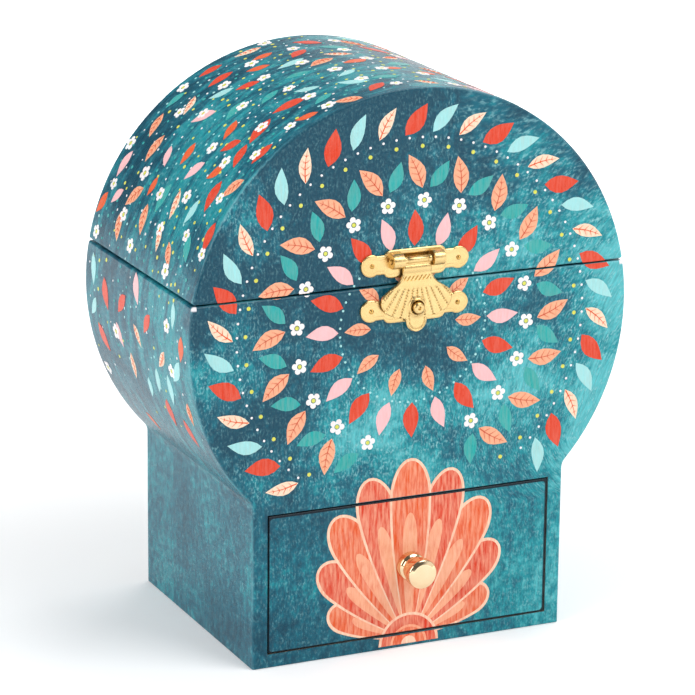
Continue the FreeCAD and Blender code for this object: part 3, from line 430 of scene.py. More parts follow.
def makeTealPaper(name, drawer=False):
    settings = paperSettings
    finish, tree, surface = newFinish(name, specularIorLevel=0.25)
    place = objectPlace(tree)
    x, y, z = split(tree, place)
    depth = calc(tree, "ABSOLUTE", y)
    flat = calc(tree, "GREATER_THAN", depth, (caseSizes["backY"] - settings["flatDepth"]) * mm)
    head = calc(tree, "GREATER_THAN", z, settings["headFrom"] * mm)
    arch = minus(tree, head, flat)
    upper = spreadOver(tree, z, settings["waist"])
    fromMiddle = minus(tree, z, caseSizes["headZ"] * mm)
    arcWay = times(tree, calc(tree, "ARCTAN2", x, fromMiddle), caseSizes["headRadius"] * mm)
    lean = times(tree, spreadOver(tree, x, settings["leanOver"], 0.0, settings["lean"]), upper)
    across = mixNumber(tree, flat, y, minus(tree, x, times(tree, lean, fromMiddle)))
    along = mixNumber(tree, flat, mixNumber(tree, head, z, arcWay), z)
    strokePlace = combine(tree, across, flat, along)
    grain = useGroup(tree, pencilGrain, Place=strokePlace, Across=1300.0, Along=190.0, Tooth=1500.0)
    broad = noiseAt(tree, place, *settings["patches"])
    even = calc(tree, "MULTIPLY_ADD", minus(tree, broad, 0.5), settings["calmArch"], 0.5)
    calm = mixNumber(tree, arch, broad, even)
    calm = mixNumber(tree, upper, spread(tree, broad, *settings["patchesBase"]), calm)
    down = calc(tree, "MULTIPLY_ADD", fromMiddle, -settings["paleDown"], -settings["deepHead"])
    rim = spreadOver(tree, x, settings["rim"], 0.0, settings["paleRim"])
    right = calc(tree, "MULTIPLY_ADD", x, settings["paleHead"], rim)
    onHead = times(tree, plus(tree, down, right), upper)
    slope = calc(tree, "MULTIPLY_ADD", x, settings["paleAcross"], onHead)
    drawnOut = mixNumber(tree, arch, settings["drawnOut"], settings["drawnOutArch"])
    wide = times(tree, across, mixNumber(tree, arch, 1.0, settings["wideArch"]))
    amount = mixNumber(tree, arch, settings["mottle"], settings["mottleArch"])
    mottlePlace = combine(tree, wide, flat, times(tree, along, drawnOut))
    mottle = noiseAt(tree, mottlePlace, *settings["mottling"])
    mottled = times(tree, minus(tree, mottle, 0.5), amount)
    patch = plus(tree, plus(tree, calm, mottled), times(tree, slope, flat))
    patch = calc(tree, "MINIMUM", patch, plus(tree, flat, settings["mostBend"]))
    strokes = times(tree, grain["Strokes"], settings["strokes"])
    tone = mixTone(tree, strokes, rampOf(tree, patch, groundStops), groundTones["stroke"])
    clump = spread(tree, noiseAt(tree, strokePlace, *settings["clumps"]), *settings["clumped"])
    pale = times(tree, spread(tree, grain["Tooth"], *settings["flecked"]), clump)
    flecks = times(tree, pale, spread(tree, patch, *settings["flecks"]))
    fewer = mixNumber(tree, arch, 1.0, settings["flecksArch"])
    flecks = times(tree, flecks, mixNumber(tree, upper, settings["flecksBase"], fewer))
    tone = mixTone(tree, flecks, tone, groundTones["fleck"])
    # wear and a painted highlight: the rounded edges of the front and back faces turn paler in patches
    fold = spreadOver(tree, depth, settings["foldIn"])
    fold = times(tree, fold, spreadOver(tree, depth, settings["foldOut"]))
    worn = times(tree, fold, spread(tree, broad, *settings["worn"]))
    tone = mixTone(tree, worn, tone, groundTones["edge"])
    belowSeam = minus(tree, caseSizes["seamZ"] * mm, z)
    under = calc(tree, "GREATER_THAN", belowSeam, 0.0)
    chip = times(tree, spreadOver(tree, belowSeam, settings["chipBelow"]), under)
    corner = times(tree, spreadOver(tree, depth, settings["chipDepth"]), chip)
    outside = calc(tree, "GREATER_THAN", calc(tree, "ABSOLUTE", x), settings["chipFrom"] * mm)
    tone = mixTone(tree, times(tree, corner, outside), tone, groundTones["core"])
    # painted shade: a dark line round the drawer front, wider on top and on the right, for the shadow in its
    # gap
    if drawer:
        tone = mixTone(tree, drawerGapShade(tree, x, z, depth), tone, groundTones["line"])
    dress(tree, surface, tone, spread(tree, grain["Tooth"], 0.0, 1.0, 0.34, 0.22))
    addBump(tree, surface, plus(tree, grain["Tooth"], grain["Strokes"]), 0.12)
    return finish


def makePrintInk(name, paleTone, paleShare, deepTone, deepShare):
    finish, tree, surface = newFinish(name, specularIorLevel=0.25)
    place = objectPlace(tree)
    grain = useGroup(tree, pencilGrain, Place=place, Across=1100.0, Along=150.0, Tooth=1800.0)
    second = useGroup(tree, pencilGrain, Place=place, Across=1500.0, Along=260.0, Tooth=900.0)
    broad = spread(tree, noiseAt(tree, place, 110.0), 0.35, 0.7, 0.3, 1.0)
    deep = times(tree, times(tree, second["Strokes"], broad), deepShare)
    drawn = mixTone(tree, deep, attributeTone(tree, "inkTone"), deepTone, "MULTIPLY")
    tone = mixTone(tree, times(tree, grain["Strokes"], paleShare), drawn, paleTone)
    dress(tree, surface, tone, spread(tree, grain["Tooth"], 0.0, 1.0, 0.36, 0.26))
    addBump(tree, surface, grain["Tooth"], 0.1)
    return finish


tealPaper = makeTealPaper("tealPaper")
drawerPaper = makeTealPaper("drawerPaper", True)
printInk = makePrintInk("printInk", ink(250, 214, 196), 0.1, ink(236, 176, 150), 0.3)
hatchedInk = makePrintInk("hatchedInk", ink(252, 190, 158), 0.6, ink(232, 120, 84), 0.75)


# metals, boards, cloths and plastics
def makeWorn(name, tone, deep, share, low, high, bump, fine=3000.0, broad=140.0, **sockets):
    # worn to a deeper tone in patches; the tone may be the name of an attribute
    finish, tree, surface = newFinish(name, **sockets)
    if isinstance(tone, str):
        tone = attributeTone(tree, tone)
    grain = useGroup(tree, wornGrain, Place=objectPlace(tree), Fine=fine, Broad=broad)
    mixed = mixTone(tree, times(tree, grain["Patch"], share), tone, deep)
    dress(tree, surface, mixed, spread(tree, grain["Grain"], 0.3, 0.7, low, high))
    if bump:
        addBump(tree, surface, grain["Grain"], bump)
    return finish


def makeMetal(name, tone, deep, low, high, bump=0.05):
    return makeWorn(name, tone, deep, 0.5, low, high, bump, metallic=1.0)


def makeNapped(name, tone, deep, fibre, swirls, rough, bump, fine, swirl, **sockets):
    finish, tree, surface = newFinish(name, **sockets)
    nap = useGroup(tree, fibreNap, Place=objectPlace(tree), Fine=fine, Swirl=swirl)
    mixed = mixTone(tree, times(tree, nap["Nap"], swirls), tone, deep)
    mixed = mixTone(tree, times(tree, nap["Fibre"], fibre), mixed, deep)
    dress(tree, surface, mixed, spread(tree, nap["Fibre"], 0.0, 1.0, *rough))
    addBump(tree, surface, nap["Fibre"], *bump)
    return finish


def makeCloth(name, tone, deep, fine, swirl, sheen):
    return makeNapped(name, tone, deep, 0.4, 0.45, (0.95, 0.75), (0.5, 0.0002), fine, swirl,
                      sheenWeight=sheen, sheenRoughness=0.4, sheenTint=tone)


def makeBoard(name, tone, deep):
    return makeNapped(name, tone, deep, 0.7, 0.3, (0.75, 0.9), (0.3, 0.0001), 1400.0, 300.0)


stampedBrass = makeMetal("stampedBrass", ink(224, 194, 136), ink(206, 170, 106), 0.24, 0.36, 0.12)
polishedBrass = makeMetal("polishedBrass", ink(242, 216, 178), ink(232, 200, 150), 0.08, 0.16, 0.0)
# painted shade: a darker copy of the brass, so that the small nail heads read as dark dots
shadedNailBrass = makeMetal("shadedNailBrass", ink(206, 166, 96), ink(168, 126, 62), 0.22, 0.34)
hingeBrass = makeMetal("hingeBrass", ink(226, 188, 110), ink(196, 152, 78), 0.2, 0.34)
plainSteel = makeMetal("plainSteel", ink(196, 198, 202), ink(160, 163, 168), 0.18, 0.32)
castMetal = makeMetal("castMetal", ink(176, 178, 182), ink(140, 142, 147), 0.34, 0.5)
movementBrass = makeMetal("movementBrass", ink(222, 184, 104), ink(190, 146, 72), 0.2, 0.34)
mirrorGlass = makeMetal("mirrorGlass", (0.9, 0.92, 0.92, 1), (0.86, 0.89, 0.9, 1), 0.01, 0.03, 0.0)
greyBoard = makeBoard("greyBoard", ink(168, 158, 146), ink(128, 118, 106))
liningPaper = makeBoard("liningPaper", ink(246, 208, 200), ink(236, 184, 176))
pinkVelvet = makeCloth("pinkVelvet", ink(238, 140, 138), ink(206, 92, 96), 2600.0, 90.0, 0.6)
greyFelt = makeCloth("greyFelt", ink(150, 152, 156), ink(104, 106, 112), 1800.0, 160.0, 0.2)
rosePlastic = makeWorn("rosePlastic", ink(246, 190, 196), ink(238, 170, 178), 0.35, 0.28, 0.4, 0.04,
                       2400.0, 200.0, specularIorLevel=0.45)

cadFinishes = [
    (tealPaper, "base_cover lid_cover"),
    (drawerPaper, "drawer_front"),
    (greyBoard, "base_front_board base_back_board base_side_walls bottom_board bay_liners bay_ceiling "
                "tray_floor lid_front_board lid_back_board lid_arch"),
    (liningPaper, "drawer_floor drawer_walls"),
    (pinkVelvet, "tub_lining tray_dividers lid_lining mirror_board lid_stop_block ring_cushion"),
    (greyFelt, "bottom_felt drawer_felt"),
    (stampedBrass, "clasp_plate catch_plate clasp_hasp clasp_hinge_pin"),
    # the nails take the darker copy of the brass, painted shade
    (shadedNailBrass, "lid_nails base_nails"),
    (polishedBrass, "drawer_knob winding_key key_eyelet"),
    (hingeBrass, "hinge_base_leaves hinge_lid_leaves hinge_pins"),
    (plainSteel, "knob_screw winding_arbor comb movement_screws cylinder_arbor dancer_spring stop_wire "
                 "mainspring"),
    (castMetal, "movement_bedplate movement_plates train_bracket"),
    (movementBrass, "spindle_bush spring_barrel barrel_wheel music_cylinder cylinder_pinion cylinder_wheel "
                    "train_wheel governor_fan contrate_wheel"),
    (mirrorGlass, "mirror"),
    (rosePlastic, "dancer_spindle dancer_figure dancer_tutu"),
]
for finish, names in cadFinishes:
    for name in names.split():
        nodes[name].data.materials.clear()
        nodes[name].data.materials.append(finish)
print("finishes set")


# print motifs: small flat shapes in the XY plane, long way along +Y, with their colour in an attribute
printTones = {
    "coral": ink(222, 62, 28),
    "orange": ink(232, 94, 40),
    "peach": ink(248, 178, 140),
    "cream": ink(255, 228, 200),
    "pink": ink(248, 196, 200),
    "aqua": ink(160, 226, 228),
    "turquoise": ink(26, 170, 168),
    "white": ink(250, 250, 252),
    "yellow": ink(220, 226, 92),
    "rust": ink(214, 92, 56),
}
motifSettings = {
    "petalRows": 7,
    "ribRows": 5,
    "veinPairs": 4,
    "veinWide": 0.34,
    "veinLevel": 0.03,  # drawn lines stand this far above their motif
    "petals": {
        # length, width and bend in mm, tone, tone of the veins
        "petalCoral": (11.5, 5.4, 0.4, "coral", None),
        "petalOrange": (9.5, 4.6, -0.4, "orange", None),
        "petalPeach": (11.0, 5.0, 0.5, "peach", "rust"),
        "petalCream": (10.0, 3.8, -0.5, "cream", "orange"),
        "petalPink": (11.0, 4.8, 0.5, "pink", None),
        "petalAqua": (11.5, 4.4, -0.6, "aqua", None),
        "petalTurquoise": (11.0, 5.0, 0.5, "turquoise", None),
    },
    "blossoms": {"blossomWhite": (2.7, "white", "yellow")},
    "dots": {"dotYellow": (0.62, "yellow"), "dotWhite": (0.42, "white"), "dotAqua": (0.46, "aqua"),
             "dotTurquoise": (0.6, "turquoise")},
}


def newMotif():
    bm = bmesh.new()
    bm.loops.layers.float_color.new("inkTone")
    return bm


def paintFace(bm, corners, tone):
    face = bm.faces.new(list(dict.fromkeys(corners)))
    layer = bm.loops.layers.float_color["inkTone"]
    for loop in face.loops:
        loop[layer] = printTones[tone]


def addStrip(bm, rows, tone, level=0.0):
    made = [[bm.verts.new((x * mm, y * mm, level * mm)) for x, y in row] for row in rows]
    for low, high in zip(made, made[1:]):
        if len(low) == 1:
            low = low * len(high)
        if len(high) == 1:
            high = high * len(low)
        for i in range(len(low) - 1):
            paintFace(bm, [low[i], low[i + 1], high[i + 1], high[i]], tone)


def petalHalf(share, width):
    return width / 2 * math.sin(math.pi * share ** 0.85)


def petalSpine(length, bend, share):
    return bend * math.sin(math.pi * share), length * (share - 0.5)


def addPetal(bm, length, width, bend, tone):
    strip = []
    last = motifSettings["petalRows"] - 1
    for i in range(last + 1):
        mid, y = petalSpine(length, bend, i / last)
        half = petalHalf(i / last, width)
        strip.append([(mid - half, y), (mid, y), (mid + half, y)] if 0 < i < last else [(mid, y)])
    addStrip(bm, strip, tone)


def addVeins(bm, length, width, bend, tone):
    line = motifSettings["veinWide"]
    level = motifSettings["veinLevel"]
    rib = []
    for i in range(motifSettings["ribRows"]):
        share = 0.04 + 0.86 * i / (motifSettings["ribRows"] - 1)
        mid, y = petalSpine(length, bend, share)
        half = line / 2 * (1.2 - share)
        rib.append([(mid - half, y), (mid + half, y)])
    addStrip(bm, rib, tone, level)
    for k in range(motifSettings["veinPairs"]):
        share = 0.2 + 0.55 * k / (motifSettings["veinPairs"] - 1)
        mid, y = petalSpine(length, bend, share)
        reach = 0.8 * petalHalf(min(share + 0.1, 1.0), width)
        foot = [(mid, y - line / 3), (mid, y + line / 3)]
        for side in (-1, 1):
            addStrip(bm, [foot[::side], [(mid + side * reach, y + 0.75 * reach)]], tone, level)


def addRing(bm, y, level, reaches):
    # a point at each reach, evenly about a middle on the Y axis
    return [bm.verts.new((reach * math.cos(a) * mm, (y + reach * math.sin(a)) * mm, level * mm))
            for a, reach in zip(fullTurn(len(reaches)), reaches)]


def addRound(bm, y, radius, tone, corners, level=0.0, lobes=0, depth=0.0, inner=0.0):
    lobed = [abs(math.cos(lobes * a / 2)) ** 0.6 for a in fullTurn(corners)]
    outer = addRing(bm, y, level, [radius * (1 - depth + depth * share) for share in lobed])
    core = addRing(bm, y, level, [inner] * corners) if inner else addRing(bm, y, level, [0.0]) * corners
    for i in range(corners):
        k = (i + 1) % corners
        paintFace(bm, [core[i], outer[i], outer[k], core[k]], tone)


def petalMotif(length, width, bend, tone, veins):
    bm = newMotif()
    addPetal(bm, length, width, bend, tone)
    if veins:
        addVeins(bm, length, width, bend, veins)
    return bm


def blossomMotif(radius, tone, eye):
    bm = newMotif()
    addRound(bm, 0, radius, tone, 40, lobes=5, depth=0.42, inner=0.34 * radius)
    addRound(bm, 0, 0.26 * radius, eye, 8)
    return bm


def dotMotif(radius, tone):
    bm = newMotif()
    addRound(bm, 0, radius, tone, 7)
    return bm


motifs = {}
stores = {}
for kind, draw in (("petals", petalMotif), ("blossoms", blossomMotif), ("dots", dotMotif)):
    stores[kind] = bpy.data.collections.new(kind)
    scene.collection.children.link(stores[kind])
    for name, values in motifSettings[kind].items():
        motifs[name] = bpy.data.objects.new(name, meshFrom(name, draw(*values)))
        stores[kind].objects.link(motifs[name])


# geometry node trees that repeat the motifs
def newGeoTree(name, inputs):
    sockets = [("Geometry", "Geometry", None)] + inputs + [("Finish", "Material", None)]
    return newGroup(name, sockets, [("Geometry", "Geometry")], "GeometryNodeTree")


def finishTree(tree, placing, given, out):
    instances = worked(tree, "GeometryNodeInstanceOnPoints", placing)
    real = worked(tree, "GeometryNodeRealizeInstances", {"Geometry": instances})
    paint = worked(tree, "GeometryNodeSetMaterial", {"Geometry": real, "Material": given["Finish"]})
    feed(tree, paint, out["Geometry"])
    return tree


def makeMotifRing():
    tree, given, out = newGeoTree("motifRing", [
        ("Motif", "Object", None), ("Count", "Int", 12), ("Radius", "Float", 0.03), ("Start", "Float", 0.0),
        ("Tilt", "Float", 0.0), ("Size", "Float", 1.0), ("Bare", "Float", 0.0)])
    step = calc(tree, "DIVIDE", 2 * math.pi, given["Count"])
    index = addNode(tree, "GeometryNodeInputIndex").outputs[0]
    angle = plus(tree, given["Start"], times(tree, index, step))
    rise = calc(tree, "COSINE", angle)
    x = times(tree, calc(tree, "SINE", angle), given["Radius"])
    place = combine(tree, x, times(tree, rise, given["Radius"]), 0.0)
    points = worked(tree, "GeometryNodePoints", {"Count": given["Count"], "Position": place})
    turn = {"Geometry": points, "Name": "turn", "Value": minus(tree, given["Tilt"], angle)}
    points = worked(tree, "GeometryNodeStoreNamedAttribute", turn, data_type="FLOAT", domain="POINT")
    below = calc(tree, "LESS_THAN", rise, times(tree, -1.0, calc(tree, "COSINE", given["Bare"])))
    dropped = {"Geometry": points, "Selection": below}
    points = worked(tree, "GeometryNodeDeleteGeometry", dropped, domain="POINT")
    info = addNode(tree, "GeometryNodeObjectInfo", {"Object": given["Motif"]})
    stored = worked(tree, "GeometryNodeInputNamedAttribute", {"Name": "turn"}, data_type="FLOAT")
    placing = {"Points": points, "Instance": info.outputs["Geometry"],
               "Rotation": combine(tree, 0.0, 0.0, stored),
               "Scale": combine(tree, given["Size"], given["Size"], 1.0)}
    return finishTree(tree, placing, given, out)


def randomValue(tree, kind, low, high, seed):
    node = addNode(tree, "FunctionNodeRandomValue", data_type=kind)
    sockets = {socket.name: socket for socket in node.inputs if socket.enabled}
    for label, value in (("Min", low), ("Max", high), ("Seed", seed)):
        feed(tree, value, sockets[label])
    return next(socket for socket in node.outputs if socket.enabled)


def makeConfetti():
    tree, given, out = newGeoTree("confettiScatter", [
        ("Motifs", "Collection", None), ("Kinds", "Int", 8), ("Spacing", "Float", 0.008),
        ("Density", "Float", 20000.0), ("Full Until", "Float", 0.1), ("Bare From", "Float", 0.16),
        ("Turn", "Float", 1.0), ("Small", "Float", 0.8), ("Large", "Float", 1.1), ("Seam", "Float", 0.1),
        ("Clear", "Float", 0.0), ("Seed", "Int", 1)])
    seed = given["Seed"]
    place = addNode(tree, "GeometryNodeInputPosition").outputs[0]
    away = calc(tree, "ABSOLUTE", split(tree, place)["X"])
    share = spread(tree, away, given["Full Until"], given["Bare From"], 1.0, 0.0)
    scatter = {"Mesh": given["Geometry"], "Distance Min": given["Spacing"], "Density Max": given["Density"],
               "Density Factor": share, "Seed": seed}
    points = worked(tree, "GeometryNodeDistributePointsOnFaces", scatter, distribute_method="POISSON")
    picked = {"Collection": given["Motifs"], "Separate Children": True, "Reset Children": True}
    fromSeam = calc(tree, "ABSOLUTE", minus(tree, away, given["Seam"]))
    kind = randomValue(tree, "INT", 0, minus(tree, given["Kinds"], 1.0), seed)
    turnSeed = plus(tree, seed, 7.0)  # each draw has a seed of its own
    turn = randomValue(tree, "FLOAT", times(tree, given["Turn"], -1.0), given["Turn"], turnSeed)
    size = randomValue(tree, "FLOAT", given["Small"], given["Large"], plus(tree, seed, 13.0))
    placing = {"Points": points, "Instance": worked(tree, "GeometryNodeCollectionInfo", picked),
               "Selection": calc(tree, "GREATER_THAN", fromSeam, given["Clear"]),
               "Pick Instance": True, "Instance Index": kind,
               "Rotation": combine(tree, 0.0, 0.0, plus(tree, turn, math.pi / 2)),
               "Scale": combine(tree, size, size, 1.0)}
    return finishTree(tree, placing, given, out)


def runTree(tree, base, values):
    holder = newObject("holder", base)
    modifier = holder.modifiers.new("nodes", "NODES")
    modifier.node_group = tree
    for item in tree.interface.items_tree:
        if item.in_out == "INPUT" and item.name in values:
            modifier[item.identifier] = values[item.name]
    return flattened(holder)


motifRing = makeMotifRing()
confettiScatter = makeConfetti()


# flat print sheets, cut to the part that carries them, given their thickness and laid on the box
layingSettings = {
    "sunk": 0.05,  # how deep the print's back lies in the paper, in millimetres
    "thick": 0.1,
    "seamGap": 0.1,
    "past": 80.0,  # a cut here is past all print
}


def cutPart(bm, axis, low, high):
    part = bm.copy()
    way = Vector((0, 0, 0))
    way[axis] = 1.0
    for limit, outward in ((high, way), (low, -way)):
        geometry = part.verts[:] + part.edges[:] + part.faces[:]
        bmesh.ops.bisect_plane(part, geom=geometry, dist=1e-8, plane_co=way * (limit * mm), plane_no=outward,
                               clear_outer=True)
    return part


def laidPrint(name, bm, lay, body, finish, thick=layingSettings["thick"]):
    mesh = applied(meshFrom(name, bm), "SOLIDIFY", thickness=thick * mm, offset=-1.0, use_even_offset=False)
    for vert in mesh.vertices:
        x, y, z = vert.co
        vert.co = lay(x, y, z + (thick - layingSettings["sunk"]) * mm)
    turn = mesh.attributes.get("turn")
    if turn:
        mesh.attributes.remove(turn)
    addPiece(name, mesh, body, "printed_paper", finish)


def onFront(x, y, z):
    return Vector((x, caseSizes["frontY"] * mm - z, caseSizes["headZ"] * mm + y))


def onBack(x, y, z):
    return Vector((-x, caseSizes["backY"] * mm + z, caseSizes["headZ"] * mm + y))


def onArch(x, y, z):
    radius = caseSizes["headRadius"] * mm
    a = x / radius
    return Vector(((radius + z) * math.sin(a), y, caseSizes["headZ"] * mm + (radius + z) * math.cos(a)))


# front and back: rings of petals and blossoms about the middle of the head
frontRings = [
    # motif, count, radius mm, start share of a step, tilt deg, size, bare half-angle at the bottom
    ("petalPeach", 10, 19.0, 0.5, 0, 0.82, 0),
    ("petalCoral", 10, 31.0, 0.0, 0, 1.0, 0),
    ("petalPink", 10, 31.0, 0.5, 0, 1.0, 0),
    ("blossomWhite", 20, 39.6, 0.25, 0, 0.95, 20),
    ("petalTurquoise", 20, 48.0, 0.55, -30, 0.92, 25),
    ("petalPeach", 20, 48.8, 0.0, 24, 1.08, 25),
    ("dotYellow", 40, 56.6, 0.25, 0, 1.1, 33),
    ("petalCoral", 14, 65.0, 0.0, -38, 1.04, 41),
    ("petalAqua", 14, 65.4, 0.34, -38, 1.02, 41),
    ("petalCream", 14, 65.0, 0.67, -38, 1.12, 41),
    ("dotWhite", 84, 59.4, 0.5, 0, 1.0, 39),
    ("dotAqua", 56, 25.0, 0.5, 0, 0.9, 0),
]
backRings = frontRings[6:11]


def ringMesh(motif, count, radius, start, tilt, size, bare):
    values = {"Motif": motifs[motif], "Count": count, "Radius": radius * mm,
              "Start": start * 2 * math.pi / count, "Tilt": math.radians(tilt), "Size": size,
              "Bare": math.radians(bare), "Finish": printInk}
    return runTree(motifRing, bpy.data.meshes.new("seat"), values)


def layRings(side, rings, lay):
    sheet = joined([ringMesh(*ring) for ring in rings])
    seam = caseSizes["seamZ"] - caseSizes["headZ"]
    gap = caseSizes["seamHalf"] + layingSettings["seamGap"]
    past = layingSettings["past"]
    laidPrint(side + "LidPrint", cutPart(sheet, 1, seam + gap, past), lay, "lid", printInk)
    laidPrint(side + "CasePrint", cutPart(sheet, 1, -past, seam - gap), lay, "case", printInk)


# a palmette of hatched petals at the foot of the front, from the sill over the drawer to the waist
palmetteSettings = {
    "footZ": 3.0,
    "petals": [
        # lean deg to both sides, length mm, width mm, body, drawn from the outside in
        (66, 31.0, 11.0, "orange"), (48, 42.0, 13.0, "coral"), (31, 51.0, 14.0, "orange"),
        (15, 57.0, 14.0, "coral"), (0, 60.0, 14.5, "orange"),
    ],
    "rounds": [(10.5, "cream"), (9.6, "coral"), (6.4, "peach"), (5.6, "orange"), (2.6, "cream")],
    "roundsBelow": 2.0,
    "roundsFrom": 0.13,  # level of the first round in millimetres
    "edge": 0.9,
    "step": 0.012,  # each petal lies this far above the one before
    "start": 0.02,
    "widest": 0.78,  # share of the length where a petal's round tip begins
    "tip": 0.22,
    "rows": 26,
    "rowsInside": 16,
    "offDrawer": 0.6,  # how far the print stops short of the drawer's gap, in millimetres
    "onDrawer": 0.5,  # and on the drawer itself
    "offFloor": 1.1,
}


def palmetteHalf(settings, share, width):
    full = settings["widest"]
    tip = math.sqrt(max(0.0, 1 - ((share - full) / settings["tip"]) ** 2)) if share > full else 1.0
    return width / 2 * tip * (0.16 + 0.84 * math.sin(math.pi / 2 * min(share / full, 1.0)) ** 1.1)


def palmetteStrip(settings, length, width, lean, footZ, rows):
    cosine = math.cos(lean)
    sine = math.sin(lean)
    strip = []
    for i in range(rows):
        share = settings["start"] + (1.0 - settings["start"]) * (1 - (1 - i / (rows - 1)) ** 1.6)
        half = palmetteHalf(settings, share, width)
        y = length * share
        row = [(x * cosine + y * sine, footZ + y * cosine - x * sine)
               for x in (-half, -half / 2, 0.0, half / 2, half)]
        strip.append(row if half > 0 else row[:1])
    return strip


def palmette(settings):
    bm = newMotif()
    footZ = settings["footZ"] - caseSizes["headZ"]
    edge = settings["edge"]
    level = 0.0
    for lean, length, width, body in settings["petals"]:
        for turn in (math.radians(lean), math.radians(-lean)) if lean else (0.0,):
            for long, wide, tone, rows, above in (
                    (length, width, "cream", settings["rows"], 0.0),
                    (length - edge, width - 2 * edge, body, settings["rows"], 0.006),
                    (length * 0.7, width * 0.34, "peach", settings["rowsInside"], 0.009)):
                addStrip(bm, palmetteStrip(settings, long, wide, turn, footZ, rows), tone, level + above)
            level += settings["step"]
    for order, (radius, tone) in enumerate(settings["rounds"]):
        level = settings["roundsFrom"] + settings["step"] / 2 * order
        addRound(bm, footZ - settings["roundsBelow"], radius, tone, 32, level)
    return bm


def layPalmette(settings):
    fan = palmette(settings)
    floor = -caseSizes["headZ"]
    high = floor + caseSizes["drawerHigh"]
    low = floor + caseSizes["drawerLow"]
    off = settings["offDrawer"]
    on = settings["onDrawer"]
    for part, body, start, end in (("Top", "case", high + off, 0), ("Drawer", "drawer", low + on, high - on),
                                   ("Sill", "case", floor + settings["offFloor"], low - off)):
        laidPrint("palmette" + part, cutPart(fan, 1, start, end), onFront, body, hatchedInk)


# arch and sides: petals, blossoms and dots scattered round the head, thinning out towards the waist
confettiSettings = {
    "halfDepth": 43.4,
    "inset": 2.0,
    "reach": 166.0,
    "past": 200.0,
    "seamGap": 0.15,
    "thick": {"petals": 0.12, "blossoms": 0.15, "dots": 0.09},
    "petals": {"Spacing": 9.6 * mm, "Density": 30000.0, "Full Until": 112 * mm, "Bare From": 168 * mm,
               "Turn": 0.8, "Small": 0.72, "Large": 1.0, "Clear": 5.2 * mm, "Seed": 4},
    "blossoms": {"Spacing": 13.0 * mm, "Density": 20000.0, "Full Until": 100 * mm, "Bare From": 150 * mm,
                 "Turn": 1.0, "Small": 0.75, "Large": 1.0, "Clear": 3.2 * mm, "Seed": 21},
    "dots": {"Spacing": 2.9 * mm, "Density": 140000.0, "Full Until": 96 * mm, "Bare From": 158 * mm,
             "Turn": 1.0, "Small": 0.65, "Large": 1.15, "Clear": 1.3 * mm, "Seed": 9},
}


def flatGrid(halfX, halfY):
    bm = bmesh.new()
    bmesh.ops.create_grid(bm, x_segments=40, y_segments=12, size=1.0)
    for vert in bm.verts:
        vert.co.x *= halfX * mm
        vert.co.y *= halfY * mm
    return meshFrom("grid", bm)


def layConfetti(settings):
    edge = settings["halfDepth"]
    past = settings["past"]
    grid = flatGrid(settings["reach"], edge - settings["inset"])
    seamAngle = math.acos((caseSizes["seamZ"] - caseSizes["headZ"]) / caseSizes["headRadius"])
    seam = seamAngle * caseSizes["headRadius"]
    gap = caseSizes["seamHalf"] + settings["seamGap"]
    for kind, store in stores.items():
        values = {"Motifs": store, "Kinds": len(store.objects), "Seam": seam * mm, "Finish": printInk,
                  **settings[kind]}
        sheet = cutPart(joined([runTree(confettiScatter, grid.copy(), values)]), 1, -edge, edge)
        for part, body, low, high in (("Lid", "lid", -seam + gap, seam - gap),
                                      ("CaseLeft", "case", -past, -seam - gap),
                                      ("CaseRight", "case", seam + gap, past)):
            cut = cutPart(sheet, 0, low, high)
            laidPrint(kind + part, cut, onArch, body, printInk, settings["thick"][kind])


layRings("front", frontRings, onFront)
layPalmette(palmetteSettings)
layRings("back", backRings, onBack)
layConfetti(confettiSettings)
for made in motifs.values():
    bpy.data.objects.remove(made)
for store in stores.values():
    bpy.data.collections.remove(store)
print("print laid")


# stamped sheet metal: a fine grid between two edges, given its thickness, with relief on its outer side
def smoothStep(low, high, value):
    share = min(max((value - low) / (high - low), 0.0), 1.0)
    return share * share * (3 - 2 * share)


def fall(low, high, value):
    return 1 - smoothStep(low, high, value)


def between(points, place):
    for (a, low), (b, high) in zip(points, points[1:]):
        if place <= b:
            share = (place - a) / (b - a)
            return low + (high - low) * share
    return points[-1][1]


def evenly(low, high, step):
    count = max(2, round((high - low) / step))
    return [low + (high - low) * i / count for i in range(count + 1)]


def cutHole(bm, middle, radius):
    inside = [f for f in bm.faces if (f.calc_center_median() - middle).length < radius]
    rim = {v for f in inside for v in f.verts}
    bmesh.ops.delete(bm, geom=inside, context="FACES")
    for vert in rim:
        if vert.is_valid:
            away = vert.co - middle
            vert.co = middle + away.normalized() * radius


def stampedSheet(rows, columns, halfAt, reliefAt, thick, hole=None):
    bm = bmesh.new()
    grid = []
    for s in rows:
        half = halfAt(s)
        grid.append([bm.verts.new((s, half * (2 * j / columns - 1), 0.0)) for j in range(columns + 1)])
    for low, high in zip(grid, grid[1:]):
        for j in range(columns):
            bm.faces.new((low[j], high[j], high[j + 1], low[j + 1]))
    if hole:
        cutHole(bm, *hole)
    bmesh.ops.remove_doubles(bm, verts=bm.verts, dist=1e-5)
    count = len(bm.verts)
    mesh = applied(meshFrom("sheet", bm), "SOLIDIFY", thickness=thick, offset=-1.0, use_even_offset=False)
    for vert in mesh.vertices[:count]:
        vert.co.z += reliefAt(vert.co.x, vert.co.y)
    return mesh


def skinned(name, bm, rings):
    # closed rings of points, joined each to the next; a ring may be one point over and over
    for low, high in zip(rings, rings[1:]):
        for i in range(len(low)):
            k = (i + 1) % len(low)
            bm.faces.new(list(dict.fromkeys((low[i], low[k], high[k], high[i]))))
    bmesh.ops.recalc_face_normals(bm, faces=bm.faces)
    return meshFrom(name, bm)


